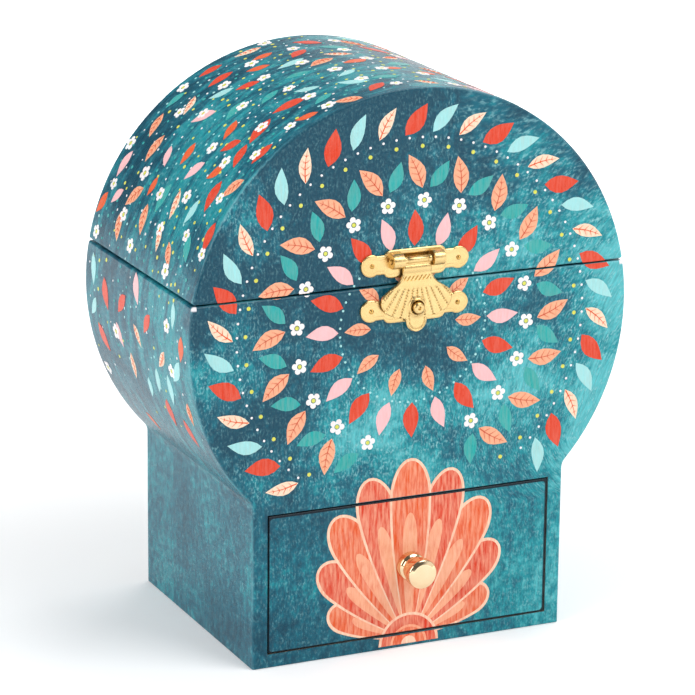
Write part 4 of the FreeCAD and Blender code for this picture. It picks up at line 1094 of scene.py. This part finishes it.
def turned(profile, segments=48):
    # a profile of (radius, height) spun about the local Z axis
    bm = bmesh.new()
    rings = []
    for radius, height in profile:
        if radius:
            places = [(radius * math.cos(a), radius * math.sin(a), height) for a in fullTurn(segments)]
            rings.append([bm.verts.new(place) for place in places])
        else:
            rings.append([bm.verts.new((0, 0, height))] * segments)
    return skinned("turned", bm, rings)


def frameOf(right, up, out, origin):
    matrix = Matrix((right, up, out)).transposed().to_4x4()
    matrix.translation = Vector(origin)
    return Matrix.Scale(mm, 4) @ matrix


def facingFront(y, z):
    return frameOf((1, 0, 0), (0, 0, 1), (0, -1, 0), (0, y, z))


# clasp: a lobed plate with two curled ears, a shell-shaped hasp and a lobed catch plate with its stud
claspSettings = {
    "sheet": 0.8,
    "halfLength": 18.4,
    "lobe": 3.5,
    "barHalf": 10.6,
    "barHigh": 4.4,
    "neckHigh": 3.0,
    "plateZ": 126.8,
    "catchZ": 112.4,
    "axisY": -46.7,
    "axisZ": 128.0,
    "barrel": 1.15,
    "pin": 0.66,
    "neckHalf": 4.8,
    "earIn": 5.0,
    "earLength": 3.8,
    "earRound": 2.4,
    "earBevel": 0.15,
    "studZ": 112.8,
    "studHole": 2.2,
    "recess": 0.5,
    "step": 0.2,
    "columns": 44,
    "thinnest": 0.02,
    "smooth": 35,
    "stud": [
        # radius mm, height mm above the front
        (0.0, 0.0), (1.85, 0.0), (1.85, 3.6), (1.76, 4.05), (1.5, 4.35), (1.05, 4.5), (0.62, 4.42),
        (0.48, 4.1), (0.3, 3.8), (0.0, 3.76)],
    "eyelet": [
        # mm beyond the hole's radius, height mm above the hasp
        (0.0, -0.7), (0.0, 0.3), (0.12, 0.5), (0.32, 0.58), (0.6, 0.48), (0.85, 0.2), (0.9, -0.1),
        (0.4, -0.7), (0.0, -0.7)],
    "grooves": [
        # mm in from the barrel's end, mm under its radius
        (0.0, 0.25), (0.25, 0.0), (1.1, 0.0), (1.3, 0.12), (1.5, 0.0)],
}
haspSettings = {
    "edge": [
        # height mm, half width mm, from the tab up to the barrel
        (104.9, 0.0), (105.05, 1.0), (105.5, 1.95), (106.3, 2.8), (107.3, 3.32), (108.4, 3.5), (109.2, 3.8),
        (109.5, 4.6), (109.75, 6.0), (110.2, 7.8), (110.8, 9.3), (111.6, 10.5), (112.6, 11.3), (113.8, 11.9),
        (115.2, 12.15), (116.4, 12.0), (117.3, 11.4), (118.1, 10.5), (118.9, 9.3), (120.2, 7.2), (121.4, 6.0),
        (122.6, 5.3), (123.6, 4.85), (128.0, 4.8)],
    "rows": [(104.9, 109.4, 0.15), (109.4, 112.6, 0.1), (112.6, 128.0, 0.16)],  # from, to and step in mm
    "columns": 140,
    "raysAbove": 8.5,  # where the shell's rays meet, above the seam
    "raysFrom": (109.2, 110.2),
    "raysTo": (-1.6, -0.6),  # above the seam
    "rayAngle": 0.148,
    "punchStep": 0.9,
    "bandAbove": 5.2,
    "bandHalf": 1.3,
    "cutsAbove": 2.3,
    "cutsHalf": (4.6, 0.72),
    "cutsStep": 1.36,
    "cutsLean": 0.75,
    "tabTop": 109.4,
    "tabMiddle": 108.4,
    "prickRound": 2.55,
    "prickAngle": 0.26,
    "prickStep": 0.66,
}


def plateHalf(settings, x):
    away = abs(x)
    end = settings["halfLength"] - settings["lobe"]
    lobe = math.sqrt(max(0.0, settings["lobe"] ** 2 - (away - end) ** 2))
    neck = settings["neckHigh"] if away < end else 0.0
    share = min(away / (settings["barHalf"] + 0.25), 1.0)
    bar = settings["barHigh"] * (1 - share ** 14) ** 0.5
    return max(lobe, neck, bar, settings["thinnest"])


def plateRelief(settings, x, c, recess):
    inside = plateHalf(settings, x) - abs(c)
    end = settings["halfLength"] - settings["lobe"]
    dome = 0.12 * fall(0.0, settings["lobe"], math.hypot(abs(x) - end, c))
    rim = 0.07 * fall(0.25, 0.7, abs(inside - 0.75))
    edge = 0.16 * fall(0.0, 0.3, inside)
    sunk = smoothStep(0.0, 0.4, settings["earIn"] + 0.3 - abs(x)) * smoothStep(0.0, 0.4, 1.4 - abs(c - 1.5))
    return dome + rim - edge - recess * sunk


def plateRows(settings):
    step = settings["step"]
    end = settings["halfLength"] - settings["lobe"]
    rows = evenly(settings["earIn"], end, step)
    rows += [end + settings["lobe"] * math.sin(math.pi / 2 * i / 14) for i in range(1, 15)]
    middle = evenly(-settings["earIn"], settings["earIn"], step)
    return sorted(-x for x in rows[1:]) + middle + rows[1:]


def lobedPlate(settings, midZ, recess=0.0):
    mesh = stampedSheet(plateRows(settings), settings["columns"], lambda x: plateHalf(settings, x),
                        lambda x, c: plateRelief(settings, x, c, recess), settings["sheet"])
    return placed(mesh, facingFront(caseSizes["frontY"] - settings["sheet"], midZ))


def curledEar(settings, side):
    outline = bpy.data.curves.new("ear", "CURVE")
    outline.dimensions = "2D"
    outline.fill_mode = "BOTH"
    outline.extrude = settings["earLength"] / 2 - settings["earBevel"]
    outline.bevel_depth = settings["earBevel"]
    outline.bevel_resolution = 2
    radius = settings["earRound"] - settings["earBevel"]
    bore = settings["pin"] + 0.3
    back = settings["axisY"] - (caseSizes["frontY"] - settings["sheet"]) + 0.1
    curl = [(radius * math.cos(a), radius * math.sin(a)) for a in evenly(-math.pi / 2, math.pi / 2, 0.16)]
    hole = [(bore * math.cos(a), bore * math.sin(a)) for a in evenly(0, 2 * math.pi, 0.35)[:-1]]
    for points in ([(back, -radius)] + curl + [(back, radius)], hole):
        spline = outline.splines.new("POLY")
        spline.points.add(len(points) - 1)
        for point, (a, b) in zip(spline.points, points):
            point.co = (a, b, 0, 1)
        spline.use_cyclic_u = True
    mesh = flattened(newObject("ear", outline))
    x = side * (settings["earIn"] + settings["earLength"] / 2)
    return placed(mesh, frameOf((0, -1, 0), (0, 0, 1), (-1, 0, 0), (x, settings["axisY"], settings["axisZ"])))


def haspRelief(settings, hasp, z, x):
    above = z - caseSizes["seamZ"]
    inside = between(hasp["edge"], z) - abs(x)
    height = -0.35 * fall(0.0, 0.55, inside)
    out = math.hypot(x, hasp["raysAbove"] - above)
    angle = math.atan2(x, hasp["raysAbove"] - above)
    fade = fall(*hasp["raysTo"], above) * smoothStep(*hasp["raysFrom"], z)
    ridge = abs(math.sin(math.pi * angle / hasp["rayAngle"]))
    height += fade * (0.16 * ridge ** 0.6 - 0.08)
    nearRay = math.asin(min(ridge, 1.0)) * hasp["rayAngle"] / math.pi * out
    punch = math.hypot(nearRay, hasp["punchStep"] * (out / hasp["punchStep"] % 1 - 0.5))
    height -= fade * 0.3 * fall(0.14, 0.36, punch)
    band = (above - hasp["bandAbove"]) / hasp["bandHalf"]
    height += 0.42 * max(0.0, 1 - band * band)
    if abs(x) < hasp["cutsHalf"][0] and abs(above - hasp["cutsAbove"]) < hasp["cutsHalf"][1]:
        slant = (x - hasp["cutsLean"] * above) / hasp["cutsStep"] % 1
        height -= 0.36 * fall(0.12, 0.24, abs(slant - 0.5))
    reach = math.hypot(x, z - settings["studZ"])
    height += 0.2 * fall(0.4, 1.1, abs(reach - settings["studHole"] - 0.4))
    if z < hasp["tabTop"]:
        border = math.hypot(x, max(0.0, hasp["tabMiddle"] - z))
        turn = math.atan2(x, hasp["tabMiddle"] - z) / hasp["prickAngle"]
        prick = math.hypot(border - hasp["prickRound"], hasp["prickStep"] * (turn % 1 - 0.5))
        height -= 0.26 * fall(0.12, 0.32, prick)
    return height


def barrelProfile(settings):
    bore = settings["pin"] + 0.05
    half = settings["neckHalf"]
    lower = [(settings["barrel"] - under, inward - half) for inward, under in settings["grooves"]]
    upper = [(radius, -height) for radius, height in reversed(lower)]
    return [(bore, -half)] + lower + upper + [(bore, half), (bore, -half)]


def haspMesh(settings, hasp):
    rows = [hasp["rows"][0][0]]
    for span in hasp["rows"]:
        rows += evenly(*span)[1:]
    hole = (Vector((settings["studZ"], 0, 0)), settings["studHole"] + 0.2)
    sheet = stampedSheet(rows, hasp["columns"], lambda z: max(between(hasp["edge"], z), settings["thinnest"]),
                         lambda z, x: haspRelief(settings, hasp, z, x), settings["sheet"], hole)
    face = settings["axisY"] - settings["sheet"] / 2
    sheet = placed(sheet, frameOf((0, 0, 1), (1, 0, 0), (0, 1, 0), (0, 0, 0)))
    for vert in sheet.vertices:
        vert.co.y = face * mm - vert.co.y
    sheet.flip_normals()
    axis = (0, settings["axisY"], settings["axisZ"])
    barrel = placed(turned(barrelProfile(settings)), frameOf((0, 1, 0), (0, 0, 1), (1, 0, 0), axis))
    rim = [(settings["studHole"] + beyond, height) for beyond, height in settings["eyelet"]]
    eyelet = placed(turned(rim), facingFront(face, settings["studZ"]))
    return oneMesh("clasp", [sheet, barrel, eyelet], settings["smooth"])


def makeClasp(settings, hasp):
    plate = [lobedPlate(settings, settings["plateZ"], settings["recess"])]
    plate += [curledEar(settings, side) for side in (-1, 1)]
    plate = oneMesh("claspPlate", plate, settings["smooth"])
    addPiece("claspPlate", plate, "lid", "brass_stamped", stampedBrass, "clasp_plate")
    addPiece("claspHasp", haspMesh(settings, hasp), "hasp", "brass_stamped", stampedBrass, "clasp_hasp")
    stud = placed(turned(settings["stud"], 32), facingFront(caseSizes["frontY"], settings["studZ"]))
    catch = oneMesh("catchPlate", [lobedPlate(settings, settings["catchZ"]), stud], settings["smooth"])
    addPiece("catchPlate", catch, "case", "brass_stamped", stampedBrass, "catch_plate")


makeClasp(claspSettings, haspSettings)
print("clasp made")

# knob: a turned spool with a collar, a waisted neck and a flat head with a rolled rim
knobSettings = {"z": 27.4, "segments": 72, "profile": [
    # radius mm, height mm above the drawer front
    (0.0, 0.0), (4.3, 0.0), (4.55, 0.15), (4.64, 0.4), (4.64, 2.3), (4.55, 2.65), (4.3, 2.9), (3.95, 3.1),
    (3.7, 3.5), (3.6, 4.1), (3.62, 4.8), (3.8, 5.4), (4.15, 5.9), (4.55, 6.3), (4.78, 6.7), (4.86, 7.2),
    (4.86, 9.2), (4.8, 9.55), (4.7, 9.8), (4.52, 9.95), (4.32, 10.03), (3.65, 10.36), (3.4, 10.45),
    (3.15, 10.47), (0.0, 10.47)]}


def makeKnob(settings):
    mesh = turned(settings["profile"], settings["segments"])
    mesh = shadeSmooth(placed(mesh, facingFront(caseSizes["frontY"], settings["z"])), 50)
    addPiece("drawerKnob", mesh, "drawer", "brass_polished", polishedBrass, "drawer_knob")


makeKnob(knobSettings)
print("knob made")


# ring rolls: two stuffed velvet rolls, round on top, flat where they rest, gathered at their ends
rollSettings = {
    "left": -67.3,
    "right": 7.3,
    "rows": ((-39.7, -28.0), (-27.4, -15.7)),
    "low": 88.5,
    "high": 99.7,
    "along": 72,
    "around": 32,
    "middle": 0.46,  # how high its middle is, as a share
    "square": 0.85,
    "gathers": 14,
    "fill": 0.85,
    "slack": 0.93,
    "voxel": 0.7,
    "workScale": 10.0,
    "pressure": 4.0,
    "frames": 20,
    "mostMove": 0.6,
    "seedStep": 3.0,
}


def squared(settings, value):
    return math.copysign(abs(value) ** settings["square"], value)


def rollPoint(settings, y0, y1, share, a, seed):
    long = settings["right"] - settings["left"]
    x = settings["left"] + share * long
    fromEnd = min(share, 1 - share) * long
    size = (1 - max(0.0, 1 - fromEnd / 5.0) ** 3) ** 0.5
    crown = 0.94 + 0.06 * smoothStep(0.0, 16.0, fromEnd)
    gather = 1 - 0.05 * math.exp(-fromEnd / 3.0) * (1 + math.cos(settings["gathers"] * a))
    reach = size * crown * gather * settings["slack"]
    rise = squared(settings, math.sin(a))
    tall = settings["high"] - settings["low"]
    middle = settings["middle"]
    y = (y0 + y1) / 2 + (y1 - y0) / 2 * squared(settings, math.cos(a)) * reach
    z = settings["low"] + middle * tall + (1 - middle if rise > 0 else middle) * tall * rise * reach
    dent = 0.16 * noise.noise(Vector((x * 0.16, y * 0.22 + seed, z * 0.22)))
    return Vector((x, y, max(z + dent * reach, settings["low"])))


def rollMesh(settings, y0, y1, seed):
    bm = bmesh.new()
    rings = []
    for i in range(settings["along"] + 1):
        share = 0.5 - 0.5 * math.cos(math.pi * i / settings["along"])
        turns = fullTurn(settings["around"])
        if 0 < i < settings["along"]:
            rings.append([bm.verts.new(rollPoint(settings, y0, y1, share, a, seed)) for a in turns])
        else:
            rings.append([bm.verts.new(rollPoint(settings, y0, y1, share, 0.0, seed))] * len(turns))
    return placed(skinned("roll", bm, rings), Matrix.Scale(mm, 4))


def puffed(mesh, settings):
    # swollen by Cloth at ten times its size, each point kept near where it began
    scale = settings["workScale"]
    work = placed(mesh, Matrix.Scale(scale, 4))
    work = applied(work, "REMESH", mode="VOXEL", voxel_size=settings["voxel"] * mm * scale, adaptivity=0.0)
    before = [vert.co.copy() for vert in work.vertices]
    holder = newObject("puff", work)
    cloth = holder.modifiers.new("cloth", "CLOTH")
    cloth.settings.use_pressure = True
    cloth.settings.uniform_pressure_force = settings["pressure"]
    cloth.settings.effector_weights.gravity = 0
    for number in range(1, settings["frames"] + 1):
        scene.frame_set(number)
    result = flattened(holder)
    scene.frame_set(1)
    most = settings["mostMove"] * mm * scale
    for vert, start in zip(result.vertices, before):
        move = vert.co - start
        vert.co = start + move * min(1.0, most / max(move.length, 1e-9))
    return placed(result, Matrix.Scale(1 / scale, 4))


def settled(mesh, settings, y0, y1):
    # flat where it rests, and kept between its neighbours
    for vert in mesh.vertices:
        vert.co.y = min(max(vert.co.y, y0 * mm), y1 * mm)
        vert.co.z = min(max(vert.co.z, settings["low"] * mm), settings["high"] * mm)
    return mesh


def makeRolls(settings):
    rolls = []
    for order, (y0, y1) in enumerate(settings["rows"]):
        mesh = rollMesh(settings, y0, y1, settings["seedStep"] * order)
        mesh = puffed(mesh, settings)
        rolls.append(settled(mesh, settings, y0, y1))
    mesh = applied(oneMesh("rolls", rolls, 60), "SUBSURF", levels=1, render_levels=1)
    piece = addPiece("ringRolls", mesh, "case", "velvet_pink", pinkVelvet, "ring_cushion")


makeRolls(rollSettings)

# felt pads in the drawer and under the base
feltSettings = [
    # name, node, body, half x, half y, middle y, face z, thickness, facing, what it lies on
    ("drawerFelt", "drawer_felt", "drawer", 46.0, 37.4, -2.0, 8.35, 1.0, 1, "drawer_floor"),
    ("baseFelt", "bottom_felt", "case", 52.5, 43.0, 0.0, 0.0, 0.6, -1, "bottom_board"),
]


def feltRelief(halfX, halfY, x, y):
    inside = min(halfX - abs(x), halfY - abs(y))
    fuzz = 0.06 * noise.noise(Vector((x * 1.1, y * 1.1, 0.3)))
    return -0.28 * fall(0.0, 0.9, inside) - 0.06 + fuzz


def makeFelts(pads):
    for name, node, body, halfX, halfY, midY, faceZ, thick, facing, under in pads:
        mesh = stampedSheet(evenly(-halfX, halfX, 1.0), round(2 * halfY), lambda x: halfY,
                            lambda x, y: feltRelief(halfX, halfY, x, y), thick)
        mesh = placed(mesh, frameOf((1, 0, 0), (0, facing, 0), (0, 0, facing), (0, midY, faceZ)))
        pad = addPiece(name, shadeSmooth(mesh, 50), body, "felt_grey", greyFelt, node)


makeFelts(feltSettings)
print("soft pieces made")

# dancer: a small painted figure on one leg, arms in a ring overhead, under a tutu of net
dancerSettings = {
    "footZ": 103.7,
    "tall": 45.0,
    "y": -0.2,
    "voxel": 0.2,
    "smooth": 60,
    "tones": {"skin": ink(247, 205, 180), "hair": ink(88, 52, 34), "bodice": ink(236, 120, 138),
              "tights": ink(250, 218, 214), "shoe": ink(232, 104, 122), "eye": ink(40, 30, 30),
              "lip": ink(214, 70, 80), "cheek": ink(244, 168, 156), "cap": ink(246, 196, 202)},
    "cap": [
        # radius mm, height mm above the foot
        (0.0, -1.2), (2.4, -1.2), (2.68, -1.0), (2.7, -0.2), (2.5, 0.15), (1.6, 0.3), (0.0, 0.36)],
    "face": [
        # tone, place and radius in shares of the height, stretch
        ("eye", (-0.02, -0.0475, 0.868), 0.0075, (1, 0.5, 1.1)),
        ("eye", (0.02, -0.0475, 0.868), 0.0075, (1, 0.5, 1.1)),
        ("cheek", (-0.029, -0.0415, 0.85), 0.009, (1, 0.35, 0.8)),
        ("cheek", (0.029, -0.0415, 0.85), 0.009, (1, 0.35, 0.8)),
        ("hair", (-0.02, -0.0495, 0.885), 0.009, (1.2, 0.4, 0.3)),
        ("hair", (0.02, -0.0495, 0.885), 0.009, (1.2, 0.4, 0.3)),
        ("lip", (0, -0.0505, 0.842), 0.009, (1.2, 0.5, 0.45)),
    ],
    "raisedToe": (0.02, -0.028, 0.235),
}
dancerLimbs = [
    # chains of (x, y, z, radius) in shares of the height
    [(0, 0, 0.0, 0.012), (0, 0, 0.03, 0.016), (0, 0.002, 0.07, 0.018), (0, 0.006, 0.15, 0.03),
     (0, 0.005, 0.2, 0.028), (0, 0, 0.26, 0.026), (0, -0.002, 0.32, 0.033), (0, 0, 0.4, 0.043),
     (0, 0, 0.48, 0.05)],
    [(0.03, 0, 0.46, 0.046), (0.1, -0.03, 0.415, 0.038), (0.187, -0.059, 0.352, 0.028),
     (0.15, -0.045, 0.325, 0.027), (0.06, -0.02, 0.262, 0.018), (0.02, -0.028, 0.235, 0.011)],
    [(0, 0, 0.46, 0.064), (0, 0, 0.52, 0.06), (0, 0, 0.6, 0.044), (0.014, -0.008, 0.67, 0.048),
     (0, 0, 0.73, 0.04)],
    [(0, 0, 0.6, 0.044), (-0.014, -0.008, 0.67, 0.048), (0, 0, 0.73, 0.04), (0, 0, 0.78, 0.022),
     (0, -0.002, 0.82, 0.022)],
    [(0, 0.006, 0.875, 0.056), (0, -0.006, 0.855, 0.05), (0, -0.012, 0.832, 0.034)],
    [(0, 0.03, 0.93, 0.033), (0, 0.022, 0.9, 0.04)],
    [(0, -0.058, 0.858, 0.007), (0, -0.052, 0.874, 0.007)],
]
dancerArm = [(0.03, 0, 0.735, 0.028), (0.056, 0, 0.745, 0.021), (0.1, -0.004, 0.79, 0.017),
             (0.132, -0.008, 0.84, 0.0155), (0.135, -0.01, 0.89, 0.014), (0.11, -0.012, 0.95, 0.0125),
             (0.066, -0.014, 0.99, 0.012), (0.028, -0.014, 1.0, 0.009)]
for side in (-1, 1):
    dancerLimbs.append([(side * x, y, z, radius) for x, y, z, radius in dancerArm])


def addBall(bm, place, radius, scale=(1, 1, 1), segments=14):
    matrix = Matrix.Translation(place) @ Matrix.Diagonal((*scale, 1))
    bmesh.ops.create_uvsphere(bm, u_segments=segments, v_segments=segments // 2, radius=radius, matrix=matrix)


def addLimb(bm, chain, tall):
    places = [Vector(point[:3]) * tall for point in chain]
    radii = [point[3] * tall for point in chain]
    for place, radius in zip(places, radii):
        addBall(bm, place, radius)
    for start, end, low, high in zip(places, places[1:], radii, radii[1:]):
        turn = (end - start).to_track_quat("Z", "Y").to_matrix().to_4x4()
        matrix = Matrix.Translation((start + end) / 2) @ turn
        bmesh.ops.create_cone(bm, cap_ends=True, segments=16, radius1=low, radius2=high,
                              depth=(end - start).length, matrix=matrix)


def dancerTone(settings, place):
    x, y, z = place / settings["tall"]
    if z < 0.005:
        return "cap"
    if z < 0.05 or math.dist((x, y, z), settings["raisedToe"]) < 0.034:
        return "shoe"
    if z < 0.5:
        return "tights"
    arm = abs(x) > 0.062 + max(0.0, 0.72 - z)
    if z < 0.7 + 0.35 * abs(abs(x) - 0.022) and not arm:
        return "bodice"
    if 0.8 < z < 0.972 and abs(x) < 0.078 and 0.75 * (y + 0.03) + 0.7 * (z - 0.892) > 0:
        return "hair"
    return "skin"


def painted(settings, mesh, toneAt):
    layer = mesh.attributes.new("paintTone", "FLOAT_COLOR", "POINT")
    for vert, item in zip(mesh.vertices, layer.data):
        item.color = settings["tones"][toneAt(vert.co)]
    return mesh


def faceBit(settings, tone, place, radius, scale):
    bm = bmesh.new()
    addBall(bm, Vector(place) * settings["tall"], radius * settings["tall"], scale, 10)
    return painted(settings, meshFrom("bit", bm), lambda at: tone)


def figureMesh(settings):
    bm = bmesh.new()
    for chain in dancerLimbs:
        addLimb(bm, chain, settings["tall"])
    body = meshFrom("figure", bm)
    body = applied(body, "REMESH", mode="VOXEL", voxel_size=settings["voxel"], adaptivity=0.0)
    body = applied(body, "SMOOTH", factor=0.5, iterations=4)
    parts = [painted(settings, body, lambda place: dancerTone(settings, place)),
             painted(settings, turned(settings["cap"], 32), lambda place: "cap")]
    parts += [faceBit(settings, *bit) for bit in settings["face"]]
    mesh = oneMesh("figure", parts, settings["smooth"])
    return placed(mesh, Matrix.Scale(mm, 4) @ Matrix.Translation((0, settings["y"], settings["footZ"])))


def makeTulle():
    finish, tree, surface = newFinish("tulle", sheenWeight=0.5, sheenRoughness=0.4)
    nap = useGroup(tree, fibreNap, Place=objectPlace(tree), Fine=5200.0, Swirl=420.0)
    dress(tree, surface, mixTone(tree, nap["Nap"], ink(252, 214, 220), ink(246, 184, 196)), 0.7)
    feed(tree, spread(tree, nap["Fibre"], 0.2, 0.8, 0.45, 0.95), surface["Alpha"])
    addBump(tree, surface, nap["Fibre"], 0.3)
    return finish


tutuSettings = {
    "waistZ": 128.0,
    "inner": 2.7,
    "pleats": 20,
    "pleatPoints": 12,
    "rings": 8,
    "wave": 1.3,
    "thick": 0.1,
    "cutShare": 0.75,  # a ring's share of the square that it is cut from
    "layers": [
        # name, outer radius mm, drop mm, phase, node that it stands for
        ("tutuTop", 13.0, 0.0, 0.0, ["dancer_tutu"]), ("tutuMiddle", 12.3, 0.75, 0.4, []),
        ("tutuUnder", 11.3, 1.5, 0.75, []),
    ],
}


def tutuLayer(settings, outer, drop, phase):
    bm = bmesh.new()
    around = settings["pleats"] * settings["pleatPoints"]
    rings = []
    for i in range(settings["rings"] + 1):
        share = i / settings["rings"]
        radius = settings["inner"] + share * (outer - settings["inner"])
        hang = drop * (0.4 + 0.6 * share) + 1.6 * settings["wave"] * share ** 1.5
        ring = []
        for a in fullTurn(around):
            pleat = math.sin(settings["pleats"] * a + phase * 2 * math.pi)
            wave = settings["wave"] * share ** 1.3 * pleat / 2
            ring.append(bm.verts.new((radius * math.cos(a), dancerSettings["y"] + radius * math.sin(a),
                                      settings["waistZ"] - hang + wave)))
        rings.append(ring)
    for low, high in zip(rings, rings[1:]):
        for k in range(around):
            n = (k + 1) % around
            bm.faces.new((low[k], high[k], high[n], low[n]))
    area = sum(f.calc_area() for f in bm.faces)
    mesh = applied(meshFrom("net", bm), "SOLIDIFY", thickness=settings["thick"], offset=-1.0)
    return placed(shadeSmooth(mesh, 60), Matrix.Scale(mm, 4)), area * mm * mm


def makeDancer(settings, net):
    paint = makeWorn("dancerPaint", "paintTone", (0.6, 0.3, 0.28, 1), 0.1, 0.26, 0.38, 0.0, 2600.0, 260.0,
                     specularIorLevel=0.5)
    figure = addPiece("dancerFigure", figureMesh(settings), "dancer", "dancer_skin", paint, "dancer_figure")
    tulle = makeTulle()
    for name, outer, drop, phase, standsFor in net["layers"]:
        mesh, area = tutuLayer(net, outer, drop, phase)
        layer = addPiece(name, mesh, "dancer", "tulle", tulle, *standsFor)


makeDancer(dancerSettings, tutuSettings)
print("dancer made")


# stage: pale floor, white surround, soft lamps
stageSettings = {
    "white": (1, 1, 1, 1),
    "floorHalf": 6.0,
    "floorTone": (0.86, 0.87, 0.88, 1),
    "floorGlow": 0.15,
    "whiteFrom": 0.1,
    "whiteTo": 1.1,
    "worldLight": 0.55,
    "ceiling": 0.12,
    "ceilingFrom": -0.05,
    "ceilingTo": 0.22,
    "ceilingTilt": 0.5,
    "lamps": [
        # name, place, aim, size, watts
        ("keyLamp", (0.55, -0.75, 1.15), (0, 0, 0.09), 0.9, 11.0),
        ("leftLamp", (-1.2, -0.25, 0.6), (0, 0, 0.09), 0.9, 8.6),
        ("topLamp", (0.5, 0.4, 1.2), (0, 0, 0.1), 0.7, 4.2),
    ],
}


def seenRays(tree):
    rays = addNode(tree, "ShaderNodeLightPath").outputs
    shiny = calc(tree, "MAXIMUM", rays["Is Glossy Ray"], rays["Is Transmission Ray"])
    return calc(tree, "MAXIMUM", rays["Is Camera Ray"], shiny)


def makeFloor(settings):
    bm = bmesh.new()
    bmesh.ops.create_grid(bm, x_segments=1, y_segments=1, size=settings["floorHalf"])
    floor = newObject("floor", meshFrom("floor", bm))
    finish, tree, surface = newFinish("paleFloor", baseColor=settings["floorTone"], roughness=0.9,
                                      specularIorLevel=0.0, emissionColor=settings["white"])
    reach = addNode(tree, "ShaderNodeVectorMath", {0: objectPlace(tree)}, operation="LENGTH").outputs["Value"]
    glow = spread(tree, reach, settings["whiteFrom"], settings["whiteTo"], settings["floorGlow"], 1.0)
    feed(tree, times(tree, seenRays(tree), glow), surface["Emission Strength"])
    floor.data.materials.append(finish)


def makeWorld(settings):
    world = bpy.data.worlds.new("studio")
    scene.world = world
    world.use_nodes = True
    tree = world.node_tree
    light = tree.nodes["Background"]
    light.inputs["Color"].default_value = settings["white"]
    light.inputs["Strength"].default_value = settings["worldLight"]
    way = split(tree, addNode(tree, "ShaderNodeTexCoord").outputs["Generated"])
    rise = calc(tree, "MULTIPLY_ADD", way["X"], -settings["ceilingTilt"], way["Z"])
    high = spread(tree, rise, settings["ceilingFrom"], settings["ceilingTo"], 1.0, settings["ceiling"])
    seen = addNode(tree, "ShaderNodeLightPath").outputs["Is Camera Ray"]
    glow = {"Color": settings["white"], "Strength": calc(tree, "MAXIMUM", seen, high)}
    white = worked(tree, "ShaderNodeBackground", glow)
    mix = worked(tree, "ShaderNodeMixShader", {0: seenRays(tree), 1: light.outputs[0], 2: white})
    feed(tree, mix, tree.nodes["World Output"].inputs["Surface"])


def makeLamps(settings):
    for name, place, aim, size, watts in settings["lamps"]:
        data = bpy.data.lights.new(name, "AREA")
        data.size = size
        data.energy = watts
        lamp = newObject(name, data)
        lamp.location = place
        lamp.rotation_mode = "QUATERNION"
        lamp.rotation_quaternion = (Vector(aim) - Vector(place)).to_track_quat("-Z", "Y")


makeFloor(stageSettings)
makeWorld(stageSettings)
makeLamps(stageSettings)
print("stage set")
